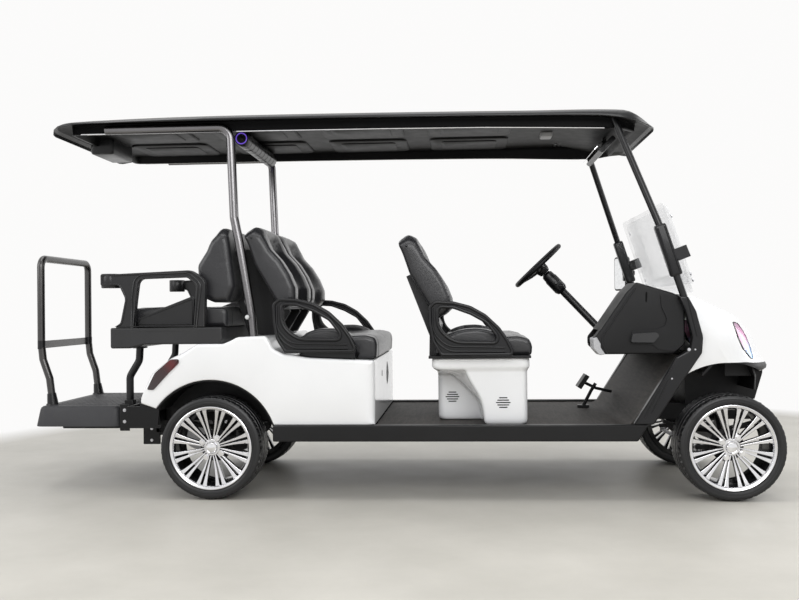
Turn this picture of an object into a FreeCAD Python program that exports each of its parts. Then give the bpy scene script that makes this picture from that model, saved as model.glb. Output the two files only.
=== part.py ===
import FreeCAD, Part
import math
import os

os.makedirs("parts", exist_ok=True)

# Six-seat golf cart. All sizes are millimetres.
# X runs forward from the rear axle, Y to the left, Z up from the ground; the finished
# pieces are shifted at the end so that the origin is under the middle of the whole car's box.

# Wheels and stance
wheelbase = 2400.0
track = 970.0
tyre_diameter = 484.0
tyre_width = 200.0
rim_diameter = 392.0
bead_diameter = 368.0
rim_wall = 13.0
spoke_pairs = 12
fit_gap = 0.3
running_gap = 6.0

# Chassis
ground_gap = 240.0
rail_height = 80.0
rail_width = 50.0
rail_inner_y = 170.0
rail_lift = 90.0
rail_rear_x = -330.0
rail_front_reach = 240.0
deck_thickness = 20.0
rocker_width = 48.0
rocker_lip = 10.0
rocker_height = 75.0
rocker_rear_x = 300.0
rocker_front_back = 380.0
ramp_foot_back = 453.0
ramp_run = 219.0
ramp_rise = 325.0

# Body panels
body_side_margin = 80.0
rocker_side_margin = 20.0
panel_wall = 12.0
arch_radius = 320.0
arch_liner_overlap = 10.0
arch_liner_wall = 16.0
rear_body_front_x = 775.0
rear_body_front_z = 648.0
body_corner = 40.0
bumper_rear_x = -400.0
bumper_front_x = -235.0
bumper_bottom = 336.0
bumper_side_inset = 5.0
bumper_wall = 14.0
nose_reach = 290.0
hood_rise = 605.0
nose_rise = 250.0

# Seats
seat_half_width = 500.0
seat_plate = 12.0
front_seat_x = 1040.0
front_seat_rise = 312.0
middle_seat_rise = 332.0
middle_seat_shift = -650.0
middle_back_lift = 50.0
arm_width = 40.0
front_arm_margin = 30.0
middle_arm_margin = 48.0
rear_arm_margin = 22.0
rear_tray_top = 810.0
rear_tray_floor = 730.0

# Rear step and handle
step_rear_x = -943.0
step_front_x = -498.0
step_top = 422.0
step_height = 102.0
step_half_width = 390.0
hitch_z = 268.0
handle_half_width = 295.0
handle_tube = 32.0
handle_x = -947.0
handle_top = 1162.0
leg_y = 290.0
leg_tube = 32.0

# Roof and its struts
roof_side_margin = 50.0
roof_rear_x = -829.0
roof_front_back = 277.0
roof_top = 1819.0
roof_edge_depth = 77.0
roof_liner_depth = 34.0
roof_rim = 45.0
roof_pad_height = 12.0
rear_strut_inset = 16.0
rear_strut_tube = 38.0
front_strut_tube = 34.0
front_strut_inset = 74.0
front_strut_foot_margin = 22.0
screen_thickness = 5.0
screen_edge_margin = 29.0
mirror_width = 125.0

# Steering
steer_wheel_y = 270.0
steer_wheel_back = 797.0
steer_wheel_rise = 775.0
steer_wheel_diameter = 332.0
steer_rim_tube = 26.0
column_foot_back = 475.0
column_foot_rise = 432.0
kingpin_inset = 85.0

# Worked out from the sizes above
wheel_r = tyre_diameter / 2
wheel_y = track / 2
deck_top = ground_gap + rail_height + deck_thickness
deck_bottom = deck_top - deck_thickness
rail_outer_y = rail_inner_y + rail_width
high_bottom = ground_gap + rail_lift
high_top = high_bottom + rail_height
rocker_top = deck_top + rocker_lip
kingpin_y = wheel_y - kingpin_inset
body_half_width = seat_half_width + body_side_margin
rocker_half_width = body_half_width + rocker_side_margin
deck_half_width = rocker_half_width - rocker_width
rail_front_x = wheelbase + rail_front_reach
rocker_front_x = wheelbase - rocker_front_back
ramp_foot_x = wheelbase - ramp_foot_back
ramp_top_x = ramp_foot_x + ramp_run
ramp_top_z = deck_top + ramp_rise
nose_x = wheelbase + nose_reach
hood_z = deck_top + hood_rise
nose_z = deck_top + nose_rise
front_seat_z = deck_top + front_seat_rise
middle_z = deck_top + middle_seat_rise
front_tray_half = seat_half_width + front_arm_margin
middle_tray_half = seat_half_width + middle_arm_margin
rear_tray_half = seat_half_width + rear_arm_margin + arm_width
roof_front_x = wheelbase - roof_front_back
roof_half_width = seat_half_width + roof_side_margin
roof_edge_bottom = roof_top - roof_edge_depth
roof_liner_z = roof_top - roof_liner_depth
rear_strut_y = seat_half_width - rear_strut_inset
steer_wheel_x = wheelbase - steer_wheel_back
steer_wheel_z = deck_top + steer_wheel_rise
column_foot_x = wheelbase - column_foot_back
column_foot_z = deck_top + column_foot_rise
front_strut_top_y = roof_half_width - front_strut_inset
front_strut_foot_y = deck_half_width + front_strut_foot_margin
screen_half_width = front_strut_foot_y - screen_edge_margin
mirror_inner_y = front_strut_foot_y + 31.0
mirror_reach_y = mirror_inner_y + mirror_width
tail_x = handle_x - handle_tube / 2
middle_x = (nose_x + tail_x) / 2
middle_y = (mirror_reach_y - rocker_half_width) / 2
middle_seat_x = front_seat_x + middle_seat_shift

vector = FreeCAD.Vector
pieces = {}


def box(x0, x1, y0, y1, z0, z1):
    return Part.makeBox(x1 - x0, y1 - y0, z1 - z0, vector(x0, y0, z0))


def corner_edges(corners, closed):
    # corners are (point, radius); each corner with a radius becomes a tangent arc
    count = len(corners)
    stops = []
    for i, (point, radius) in enumerate(corners):
        is_end = not closed and i in (0, count - 1)
        if radius <= 0 or is_end:
            stops.append((point, None, point))
            continue
        before = (corners[i - 1][0] - point).normalize()
        after = (corners[(i + 1) % count][0] - point).normalize()
        half = before.getAngle(after) / 2
        reach = radius / math.tan(half)
        centre = point + (before + after).normalize() * (radius / math.sin(half))
        middle = centre + (point - centre).normalize() * radius
        stops.append((point + before * reach, middle, point + after * reach))
    edges = []
    for i, (start, middle, end) in enumerate(stops):
        if middle is not None:
            edges.append(Part.Arc(start, middle, end).toShape())
        if i == count - 1 and not closed:
            break
        following = stops[(i + 1) % count][0]
        if (following - end).Length > 1e-6:
            edges.append(Part.LineSegment(end, following).toShape())
    return Part.Wire(edges)


def side_face(points, y):
    # points are (x, z) or (x, z, corner radius), seen from the car's right side
    corners = [(vector(p[0], y, p[1]), p[2] if len(p) > 2 else 0) for p in points]
    return Part.Face(corner_edges(corners, True))


def side_prism(points, y0, y1):
    return side_face(points, y0).extrude(vector(0, y1 - y0, 0))


def plan_prism(points, z0, z1):
    # points are (x, y) or (x, y, corner radius), seen from above
    corners = [(vector(p[0], p[1], z0), p[2] if len(p) > 2 else 0) for p in points]
    return Part.Face(corner_edges(corners, True)).extrude(vector(0, 0, z1 - z0))


def placed(points, x, z):
    return [(p[0] + x, p[1] + z) + tuple(p[2:]) for p in points]


def from_front(points):
    # outlines ahead of the deck are measured from the front axle and the deck's top
    return placed(points, wheelbase, deck_top)


def cylinder(start, end, radius):
    run = end - start
    return Part.makeCylinder(radius, run.Length, start, run)


def tube(points, diameter, bend):
    path = corner_edges([(p, bend) for p in points], False)
    circle = Part.Circle(points[0], points[1] - points[0], diameter / 2)
    return path.makePipe(Part.Face(Part.Wire(circle.toShape())))


def mirrored(shape):
    return shape.mirror(vector(0, 0, 0), vector(0, 1, 0))


def both_sides(shape):
    return [shape, mirrored(shape)]


def joined(shapes):
    whole = shapes[0].fuse(shapes[1:])
    return whole.removeSplitter()


def keep(name, shapes):
    solids = []
    for shape in shapes:
        solids += shape.Solids
    pieces[name] = solids


# Wheels: a low-profile tyre round a rim of paired blades

def turned(profile, centre, out):
    # profile rows are (distance outward along the axle, radius) or two such points of an arc
    def at(w, r):
        return vector(centre.x, centre.y + out * w, centre.z + r)

    edges = []
    here = at(*profile[0])
    for row in profile[1:]:
        if len(row) == 4:
            there = at(row[2], row[3])
            edges.append(Part.Arc(here, at(row[0], row[1]), there).toShape())
        else:
            there = at(*row)
            edges.append(Part.LineSegment(here, there).toShape())
        here = there
    return Part.Face(Part.Wire(edges)).revolve(centre, vector(0, 1, 0), 360)


half_tyre = tyre_width / 2
bead_r = bead_diameter / 2
flange_r = rim_diameter / 2
bead_w = half_tyre - 14.0
lip_w = half_tyre - 5.0
hub_r = 46.0
hub_face_w = 62.0
drum_r = 60.0
drum_w = -5.0
spindle_r = 15.0
spindle_w = 50.0
cap_r = 24.0
blade_root_w = 60.0
blade_tip_w = 84.0
blade_depth = 20.0
backing_r = 76.0
backing_w = drum_w - running_gap


def tyre(centre, out):
    shoulder_w = half_tyre - 9.0
    shoulder_r = wheel_r - 7.0
    side_r = (flange_r + wheel_r) / 2
    return turned([
        (-bead_w, bead_r), (bead_w, bead_r), (bead_w, flange_r + fit_gap),
        (lip_w, flange_r + 3.0), (half_tyre, side_r, shoulder_w, shoulder_r),
        (0, wheel_r, -shoulder_w, shoulder_r), (-half_tyre, side_r, -lip_w, flange_r + 3.0),
        (-bead_w, flange_r + fit_gap), (-bead_w, bead_r)], centre, out)


def rim(centre, out):
    barrel_r = bead_r - fit_gap
    inner_r = barrel_r - rim_wall
    flange_w = bead_w + fit_gap
    barrel = turned([
        (-lip_w, inner_r), (lip_w, inner_r), (lip_w, flange_r), (flange_w, flange_r),
        (flange_w, barrel_r), (-flange_w, barrel_r), (-flange_w, flange_r),
        (-lip_w, flange_r), (-lip_w, inner_r)], centre, out)
    bore_r = spindle_r + fit_gap
    hub = turned([
        (drum_w, bore_r), (drum_w, drum_r), (40.0, drum_r), (48.0, hub_r), (hub_face_w, hub_r),
        (hub_face_w + 6.0, cap_r + 8.0), (hub_face_w + 6.0, cap_r), (hub_face_w + 18.0, cap_r - 4.0),
        (hub_face_w + 18.0, 0), (spindle_w + 2.0, 0), (spindle_w + 2.0, bore_r), (drum_w, bore_r)],
        centre, out)
    root_r = hub_r - 6.0
    tip_r = inner_r + 5.0
    blades = []
    for i in range(spoke_pairs):
        for side in (-1, 1):
            # one blade of a pair, thin at the hub and flared at the rim
            outline = [(root_r, side * 2.0), (root_r, side * 8.0), (tip_r - 45.0, side * 12.0),
                       (tip_r, side * 27.0), (tip_r, side * 7.0), (tip_r - 45.0, side * 4.0)]
            front = [vector(a, 0, b) for a, b in outline]
            wire = Part.makePolygon(front + front[:1])
            blade = Part.Face(wire).extrude(vector(0, out * blade_tip_w, 0))
            blades.append((i, blade))
    spokes = []
    dish = turned([
        (blade_root_w - blade_depth, 0), (blade_root_w, 0), (blade_root_w, root_r),
        (blade_tip_w, tip_r), (blade_tip_w - blade_depth, tip_r),
        (blade_root_w - blade_depth, root_r), (blade_root_w - blade_depth, 0)],
        vector(0, 0, 0), out)
    for i, blade in blades:
        shape = blade.common(dish)
        shape.rotate(vector(0, 0, 0), vector(0, 1, 0), i * 360.0 / spoke_pairs)
        shape.translate(centre)
        spokes.append(shape)
    return joined([barrel, hub] + spokes)


wheel_places = {
    "rear_left": (0.0, 1), "rear_right": (0.0, -1),
    "front_left": (wheelbase, 1), "front_right": (wheelbase, -1),
}
for place, (x, side) in wheel_places.items():
    centre = vector(x, side * wheel_y, wheel_r)
    keep("tyre_" + place, [tyre(centre, side)])
    keep("rim_" + place, [rim(centre, side)])

# Rear axle, motor and leaf springs

axle_tube_r = 32.0
saddle_top = wheel_r + 38.0
spring_half_length = 235.0
spring_leaf = 18.0

motor_r = 88.0
motor_length = 250.0
motor_x = -184.0
motor_z = wheel_r + 16.0
motor = cylinder(vector(motor_x, -motor_length / 2, motor_z),
                 vector(motor_x, motor_length / 2, motor_z), motor_r)

differential = turned([
    (-70.0, 0), (-70.0, 60.0), (0, 96.0, 70.0, 60.0), (70.0, 0), (-70.0, 0)],
    vector(0, 0, wheel_r), 1)
neck = cylinder(vector(0, 0, motor_z), vector(motor_x, 0, motor_z), 50.0)
rear_axle = [differential, neck]
for side in (1, -1):
    inner = vector(0, side * 40.0, wheel_r)
    plate_y = side * (wheel_y + backing_w)
    outer = vector(0, plate_y - side * 12.0, wheel_r)
    rear_axle.append(cylinder(inner, outer, axle_tube_r))
    rear_axle.append(cylinder(outer, vector(0, plate_y, wheel_r), backing_r))
    spindle_end = vector(0, side * (wheel_y + spindle_w), wheel_r)
    rear_axle.append(cylinder(outer, spindle_end, spindle_r))
    low, high = sorted((side * rail_inner_y, side * rail_outer_y))
    rear_axle.append(box(-35.0, 35.0, low, high, wheel_r, saddle_top))
keep("rear_axle", [joined(rear_axle).cut(motor)])
keep("drive_motor", [motor])


def leaf_spring(x, bottom_z, y0, y1):
    top_z = high_bottom
    low_start = vector(x - spring_half_length, y0, top_z - spring_leaf)
    low_end = vector(x + spring_half_length, y0, top_z - spring_leaf)
    high_end = vector(x + spring_half_length, y0, top_z)
    high_start = vector(x - spring_half_length, y0, top_z)
    edges = [
        Part.Arc(low_start, vector(x, y0, bottom_z), low_end).toShape(),
        Part.LineSegment(low_end, high_end).toShape(),
        Part.Arc(high_end, vector(x, y0, bottom_z + spring_leaf), high_start).toShape(),
        Part.LineSegment(high_start, low_start).toShape(),
    ]
    return Part.Face(Part.Wire(edges)).extrude(vector(0, y1 - y0, 0))


# Front axle beam, knuckles and tie rod

beam_half = 25.0
yoke_in_y = kingpin_y - 38.0
yoke_out_y = kingpin_y + 22.0
barrel_half = 34.0
yoke_plate = 12.0
kingpin_r = 10.0
arm_length = 110.0
arm_y = kingpin_y - 2.0
beam_top = wheel_r + beam_half

front_axle = [box(wheelbase - beam_half, wheelbase + beam_half, -yoke_in_y, yoke_in_y,
                  wheel_r - beam_half, beam_top)]
for side in (1, -1):
    low, high = sorted((side * (yoke_in_y - 14.0), side * yoke_in_y))
    tall = barrel_half + yoke_plate + 1.0
    front_axle.append(box(wheelbase - beam_half, wheelbase + beam_half, low, high,
                          wheel_r - tall, wheel_r + tall))
    low, high = sorted((side * (yoke_in_y - 14.0), side * yoke_out_y))
    for z in (wheel_r - tall, wheel_r + barrel_half + 1.0):
        front_axle.append(box(wheelbase - beam_half, wheelbase + beam_half, low, high,
                              z, z + yoke_plate))
    front_axle.append(cylinder(vector(wheelbase, side * kingpin_y, wheel_r - tall),
                               vector(wheelbase, side * kingpin_y, wheel_r + tall), kingpin_r))
keep("front_axle", [joined(front_axle)])

for name, side in (("left", 1), ("right", -1)):
    pin = vector(wheelbase, side * kingpin_y, wheel_r)
    barrel = cylinder(pin - vector(0, 0, barrel_half), pin + vector(0, 0, barrel_half), 22.0)
    plate_y = side * (wheel_y + backing_w)
    plate = cylinder(vector(wheelbase, plate_y - side * 12.0, wheel_r),
                     vector(wheelbase, plate_y, wheel_r), backing_r)
    spindle = cylinder(pin, vector(wheelbase, side * (wheel_y + spindle_w), wheel_r), spindle_r)
    boss = cylinder(pin, vector(wheelbase, plate_y, wheel_r), 26.0)
    arm = side_prism([(wheelbase - arm_length - 16.0, wheel_r - 30.0), (wheelbase, wheel_r - 30.0),
                      (wheelbase, wheel_r - 12.0), (wheelbase - arm_length - 16.0, wheel_r - 12.0)],
                     side * arm_y - 11.0, side * arm_y + 11.0)
    bore = cylinder(pin - vector(0, 0, 60.0), pin + vector(0, 0, 60.0), kingpin_r + fit_gap)
    keep("knuckle_" + name, [joined([barrel, plate, spindle, boss, arm]).cut(bore)])

tie_rod_z = wheel_r - 30.0 - fit_gap
tie_rod_x = wheelbase - arm_length
tie_rod = [cylinder(vector(tie_rod_x, -arm_y, tie_rod_z - 10.0),
                    vector(tie_rod_x, arm_y, tie_rod_z - 10.0), 9.0)]
for side in (1, -1):
    tie_rod.append(cylinder(vector(tie_rod_x, side * arm_y, tie_rod_z - 20.0),
                            vector(tie_rod_x, side * arm_y, tie_rod_z), 13.0))
keep("tie_rod", [joined(tie_rod)])

springs = []
for side in (1, -1):
    low, high = sorted((side * rail_inner_y, side * rail_outer_y))
    springs.append(leaf_spring(0.0, saddle_top, low, high))
    springs.append(leaf_spring(wheelbase, beam_top, low, high))
keep("leaf_springs", springs)

# Chassis frame: two rails that rise over the axles, and cross members out to the rockers

rise_rear_x = 380.0
rise_front_x = wheelbase - 415.0
rise_run_rear = 90.0
rise_run_front = 150.0
rail_points = [
    (rail_rear_x, high_bottom), (rise_rear_x, high_bottom), (rise_rear_x + rise_run_rear, ground_gap),
    (rise_front_x, ground_gap), (rise_front_x + rise_run_front, high_bottom),
    (rail_front_x, high_bottom), (rail_front_x, high_top), (rise_front_x + rise_run_front - 25.0, high_top),
    (rise_front_x - 25.0, deck_bottom), (rise_rear_x + rise_run_rear + 25.0, deck_bottom),
    (rise_rear_x + 25.0, high_top), (rail_rear_x, high_top)]
rails = both_sides(side_prism(rail_points, rail_inner_y, rail_outer_y))
keep("chassis_rails", rails)
cross_width = 40.0
cross_drop = 50.0
crosses = []
for x in (520.0, 850.0, 1400.0, rise_front_x - 105.0):
    crosses.append(box(x, x + cross_width, -deck_half_width, deck_half_width,
                       deck_bottom - cross_drop, deck_bottom))
for x in (rail_rear_x, rail_front_x - cross_width):
    crosses.append(box(x, x + cross_width, -rail_outer_y, rail_outer_y, high_bottom, high_top))
keep("cross_members", [cross.cut(rails) for cross in crosses])

rocker_points = [
    (rocker_rear_x, rocker_top - rocker_height), (rocker_front_x - 46.0, rocker_top - rocker_height),
    (rocker_front_x, rocker_top), (rocker_rear_x, rocker_top)]
keep("rockers", both_sides(side_prism(rocker_points, deck_half_width, rocker_half_width)))

# Floor deck with the toe ramp at its front

deck_rear_x = rear_body_front_x
ramp_angle = math.atan2(ramp_top_z - deck_top, ramp_top_x - ramp_foot_x)
ramp_dx = 14.0 * math.sin(ramp_angle)
ramp_dz = 14.0 * math.cos(ramp_angle)
deck_points = [
    (deck_rear_x, deck_bottom), (ramp_foot_x + 4.0, deck_bottom),
    (ramp_top_x + ramp_dx, ramp_top_z - ramp_dz), (ramp_top_x, ramp_top_z, 4.0),
    (ramp_foot_x, deck_top, 60.0), (deck_rear_x, deck_top)]
floor_deck = side_prism(deck_points, -deck_half_width, deck_half_width)
keep("floor_deck", [floor_deck])

# Side channels between the ramp and the front cowl

pillar_y0 = deck_half_width
pillar_y1 = deck_half_width + 44.0
pillar_front = from_front([(-354.0, rocker_lip), (-217.0, 216.0, 20.0), (-136.0, 333.0, 20.0),
                (-130.0, 406.0, 60.0), (-160.0, 524.0, 60.0), (-195.0, 590.0)])
pillar_rear = from_front([(-235.0, 590.0), (-207.0, 524.0, 60.0), (-178.0, 406.0, 40.0),
               (-188.0, 350.0, 20.0), (-250.0, 315.0, 10.0), (-444.0, rocker_lip)])
keep("side_channels", both_sides(side_prism(pillar_front + pillar_rear, pillar_y0, pillar_y1)))

# Rear body: one white shell over the rear wheels, open underneath

body_top = [
    (rear_body_front_x, rear_body_front_z, 14.0), (474.0, 662.0), (348.0, 682.0, 30.0),
    (300.0, 706.0, 20.0), (282.0, 742.0, 10.0), (268.0, 768.0, 8.0), (118.0, 762.0, 12.0),
    (95.0, 744.0, 12.0), (62.0, rear_tray_floor), (-60.0, rear_tray_floor), (-131.0, 690.0, 12.0),
    (-190.0, 664.0, 12.0), (-285.0, 590.0, 20.0), (-333.0, 481.0), (-337.0, 451.0, 8.0), (-245.0, 424.0)]
arch_cut = cylinder(vector(0, -body_half_width - 50.0, wheel_r), vector(0, body_half_width + 50.0, wheel_r),
                    arch_radius)
body_outline = [(-252.0, rocker_top), (rear_body_front_x, rocker_top)] + body_top
outer_plan = plan_prism([
    (-400.0, -body_half_width), (rear_body_front_x, -body_half_width, body_corner),
    (rear_body_front_x, body_half_width, body_corner), (-400.0, body_half_width)], 200.0, 900.0)
outer_body = side_prism(body_outline, -body_half_width, body_half_width).common(outer_plan)
inner_top = [
    (rear_body_front_x - panel_wall, rear_body_front_z - panel_wall), (474.0, 662.0 - panel_wall),
    (345.0, 682.0 - panel_wall), (290.0, 702.0 - panel_wall), (270.0, 742.0 - panel_wall),
    (258.0, 768.0 - panel_wall), (124.0, 762.0 - panel_wall), (101.0, 744.0 - panel_wall),
    (66.0, rear_tray_floor - panel_wall), (-58.0, rear_tray_floor - panel_wall),
    (-126.0, 690.0 - panel_wall), (-182.0, 664.0 - panel_wall), (-274.0, 590.0 - panel_wall),
    (-320.0, 481.0), (-322.0, 440.0)]
inner_outline = [(-322.0, 300.0), (rear_body_front_x - panel_wall, 300.0)] + inner_top
inner_half = body_half_width - panel_wall
inner_x = rear_body_front_x - panel_wall
inner_corner = body_corner - panel_wall
inner_plan = plan_prism([
    (-400.0, -inner_half), (inner_x, -inner_half, inner_corner),
    (inner_x, inner_half, inner_corner), (-400.0, inner_half)], 200.0, 900.0)
inner_body = side_prism(inner_outline, -inner_half, inner_half).common(inner_plan)
keep("rear_body", [outer_body.cut(inner_body).cut(arch_cut)])

liner_outer = arch_radius + arch_liner_overlap
liner_y0 = wheel_y - half_tyre - 15.0
liner_ring = cylinder(vector(0, liner_y0, wheel_r), vector(0, inner_half, wheel_r), liner_outer)
liner_hole = cylinder(vector(0, liner_y0 - 1.0, wheel_r), vector(0, inner_half + 1.0, wheel_r),
                      liner_outer - arch_liner_wall)
liner_limit = box(-400.0, 400.0, 0, 700.0, 424.0, 700.0)
rear_liner = liner_ring.cut(liner_hole).common(liner_limit)
keep("rear_arch_liners", both_sides(rear_liner))

# Lower rear bumper: a beam behind the tail, with a side piece up to each arch
bumper_out = body_half_width - bumper_side_inset
bumper_in = bumper_out - bumper_wall
bumper_side = box(bumper_rear_x, bumper_front_x, bumper_in, bumper_out, bumper_bottom, 470.0)
bumper_side = bumper_side.cut(outer_body).cut(rear_liner)
bumper_side = bumper_side.cut(box(bumper_rear_x - 1.0, -337.0, 0, 600.0, 438.0, 480.0))
bumper_beam = box(bumper_rear_x, bumper_rear_x + bumper_wall, -bumper_in, bumper_in, bumper_bottom, 438.0)
keep("rear_bumper", both_sides(bumper_side) + [bumper_beam])

keep("battery_pack", [box(500.0, 745.0, -300.0, 300.0, deck_bottom, 590.0)])

# Tail lamps in the rear corners of the body
lamp_points = [(-300.0, 524.0, 6.0), (-262.0, 520.0, 6.0), (-196.0, 592.0, 20.0), (-150.0, 630.0, 10.0),
               (-140.0, 656.0, 10.0), (-186.0, 658.0, 10.0), (-271.0, 593.0, 20.0)]
keep("tail_lamps", both_sides(side_prism(lamp_points, body_half_width + fit_gap,
                                         body_half_width + 6.0)))

# Front cowl: the same hood profile at every station, set back further towards the sides

# rows are (part of the body's half width, distance set back)
cowl_stations = [(0.0, 0.0), (0.345, 20.0), (0.586, 58.0), (0.759, 102.0), (0.897, 156.0),
                 (0.966, 205.0), (1.0, 250.0)]
hood_points = [(nose_x - 500.0, hood_z), (nose_x - 363.0, hood_z - 2.0), (nose_x - 244.0, hood_z - 61.0),
               (nose_x - 145.0, hood_z - 113.0), (nose_x - 86.0, nose_z + 167.0),
               (nose_x - 38.0, nose_z + 65.0), (nose_x, nose_z),
               (nose_x - 60.0, nose_z - 22.0), (nose_x - 500.0, nose_z + 10.0)]


def cowl_solid(shift_x, shift_z, narrow):
    half = [(share * (body_half_width - narrow), back) for share, back in cowl_stations]
    stations = [(-y, back) for y, back in reversed(half[1:])] + half
    wires = []
    for y, back in stations:
        loop = [vector(x - back + shift_x, y, z + shift_z) for x, z in hood_points]
        wires.append(Part.makePolygon(loop + loop[:1]))
    return Part.makeLoft(wires, True, True)


cowl_outer = cowl_solid(0, 0, 0)
cowl_inner = cowl_solid(-panel_wall, -panel_wall, panel_wall)
cowl_edge = [(p[0] + fit_gap,) + tuple(p[1:]) for p in pillar_front]
past_side = body_half_width + 120.0
cowl_rear_cut = side_prism([(ramp_foot_x, rocker_top)] + cowl_edge + [
    (cowl_edge[-1][0], hood_z + 155.0), (ramp_foot_x, hood_z + 155.0)], -past_side, past_side)
front_arch = cylinder(vector(wheelbase - 20.0, -past_side, wheel_r + 30.0),
                      vector(wheelbase - 20.0, past_side, wheel_r + 30.0), wheel_r + 114.0)
cowl = cowl_outer.cut(cowl_inner).cut(cowl_rear_cut)
cowl = cowl.cut(front_arch)
cowl = max(cowl.Solids, key=lambda s: s.Volume)

# Head lamps: almond lenses let into the wall of the cowl at its front corners
lamp_outline = from_front([
    (23.0, 472.0, 10.0), (35.0, 404.0, 30.0), (57.0, 349.0, 30.0), (101.0, 306.0, 10.0),
    (200.0, 300.0, 20.0), (240.0, 380.0, 40.0), (160.0, 460.0, 30.0)])
lamp_blank = side_prism(lamp_outline, body_half_width - 250.0, past_side)
lenses = cowl.common(lamp_blank)
cowl = cowl.cut(lamp_blank).cut(mirrored(lamp_blank))
keep("front_cowl", [cowl])
keep("head_lamps", both_sides(lenses))

# Black inner fenders and the lower nose under the cowl, standing on the chassis rails
nose_plan_half = body_half_width - panel_wall - 2.0
nose_plan = [(nose_x - back - panel_wall - 4.0, share * nose_plan_half) for share, back in cowl_stations]
nose_plan = [(x, -y) for x, y in reversed(nose_plan[1:])] + nose_plan
nose_rear_x = wheelbase - 500.0
nose_plan_prism = plan_prism(nose_plan + [(nose_rear_x, nose_plan_half), (nose_rear_x, -nose_plan_half)],
                             deck_top - 40.0, hood_z)
fender_plate = from_front([(-134.0, 235.0), (-80.0, 292.0, 30.0), (100.0, 292.0, 30.0), (132.0, 220.0, 10.0),
                (124.0, 160.0), (114.0, 160.0), (121.0, 218.0, 10.0), (94.0, 282.0, 22.0),
                (-76.0, 282.0, 22.0), (-127.0, 228.0)])
fender_inner_y = rail_outer_y + 40.0
fender = side_prism(fender_plate, fender_inner_y, body_half_width).common(nose_plan_prism)
core_rear_x = wheelbase - 138.0
core_top = nose_z - 24.0
nose_core = side_prism([(core_rear_x, high_top), (rail_front_x - 80.0, high_top),
                        (rail_front_x, high_top + 60.0, 20.0), (rail_front_x + 10.0, core_top),
                        (core_rear_x, core_top)],
                       -fender_inner_y, fender_inner_y).common(nose_plan_prism)
fender_web = box(wheelbase - 70.0, wheelbase + 90.0, fender_inner_y - 30.0, fender_inner_y,
                 core_top - 26.0, core_top + 66.0)
underbody = joined([nose_core, fender, mirrored(fender), fender_web, mirrored(fender_web)])
underbody = underbody.cut(cowl).cut(lenses).cut(mirrored(lenses))
keep("front_underbody", [max(underbody.Solids, key=lambda s: s.Volume)])

# Dash: the black moulding behind the cowl, with two open pockets

dash_points = from_front([(-615.0, 410.0, 20.0), (-571.0, 327.0, 12.0), (-250.0, 327.0), (-200.0, 375.0),
               (-200.0, 588.0), (-415.0, 660.0, 12.0), (-472.0, 609.0, 10.0)])
dash = side_prism(dash_points, -deck_half_width, deck_half_width)
pocket_points = from_front([(-700.0, 442.0), (-320.0, 442.0), (-332.0, 368.0), (-700.0, 360.0)])
pockets = []
for y0, y1 in ((52.0 - deck_half_width, -60.0), (60.0, 200.0)):
    pockets.append(side_prism(pocket_points, y0, y1))
keep("dash", [dash.cut(pockets)])

# Steering column and wheel on one slanted axis

wheel_hub = vector(steer_wheel_x, steer_wheel_y, steer_wheel_z)
column_foot = vector(column_foot_x, steer_wheel_y, column_foot_z)
column_axis = (column_foot - wheel_hub).normalize()
hub_drop = 34.0
column_start = wheel_hub + column_axis * (hub_drop + running_gap + 24.0)
column = joined([
    cylinder(column_start, column_foot + column_axis * -18.0, 19.0),
    cylinder(wheel_hub + column_axis * 95.0, wheel_hub + column_axis * 190.0, 32.0)])
column_pin = cylinder(wheel_hub + column_axis * 30.0, column_start + column_axis * 30.0, 9.0)
column = joined([column, column_pin])
keep("steering_column", [column.cut(dash)])

steer_rim = Part.makeTorus(steer_wheel_diameter / 2 - steer_rim_tube / 2, steer_rim_tube / 2,
                           wheel_hub, column_axis)
hub_low = wheel_hub + column_axis * 12.0
hub_high = wheel_hub + column_axis * (hub_drop + 24.0)
steer_parts = [steer_rim, cylinder(hub_low, hub_high, 34.0)]
across = vector(0, 1, 0)
upward = column_axis.cross(across)
for angle in (0.0, 180.0, 270.0):
    turn = math.radians(angle)
    direction = across * math.cos(turn) + upward * math.sin(turn)
    reach = steer_wheel_diameter / 2 - steer_rim_tube / 2
    start = wheel_hub + column_axis * 26.0
    steer_parts.append(cylinder(start, wheel_hub + direction * reach, 11.0))
steer_bore = cylinder(wheel_hub + column_axis * 28.0, wheel_hub + column_axis * 90.0, 9.0 + fit_gap)
keep("steering_wheel", [joined(steer_parts).cut(steer_bore)])

# Pedals on the ramp and the deck
pedal_y = steer_wheel_y - 20.0
pedal_x = ramp_foot_x - 111.0
brake_arm = tube([vector(pedal_x, pedal_y, deck_top + 6.0), vector(pedal_x + 44.0, pedal_y, deck_top + 90.0),
                  vector(pedal_x + 69.0, pedal_y, deck_top + 130.0)], 18.0, 20.0)
pedal_foot = box(pedal_x - 30.0, pedal_x + 30.0, pedal_y - 25.0, pedal_y + 25.0, deck_top, deck_top + 14.0)
pad_profile = [(-36.0, 115.0, 3.0), (10.0, 183.0, 3.0), (30.0, 170.0, 3.0), (-16.0, 102.0, 3.0)]
brake_pad = side_prism(placed(pad_profile, pedal_x, deck_top), pedal_y - 60.0, pedal_y + 40.0)
pedal_link = tube([vector(pedal_x - 6.0, pedal_y, deck_top + 142.0),
                   vector(pedal_x + 69.0, pedal_y, deck_top + 104.0),
                   vector(pedal_x + 154.0, pedal_y, deck_top + 85.0)], 16.0, 20.0)
pedals = joined([brake_arm, pedal_foot, brake_pad, pedal_link]).cut(floor_deck)
keep("pedals", [pedals])


# Seats: each has a tray, a cushion, a leaning back and a pair of arm loops

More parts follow.
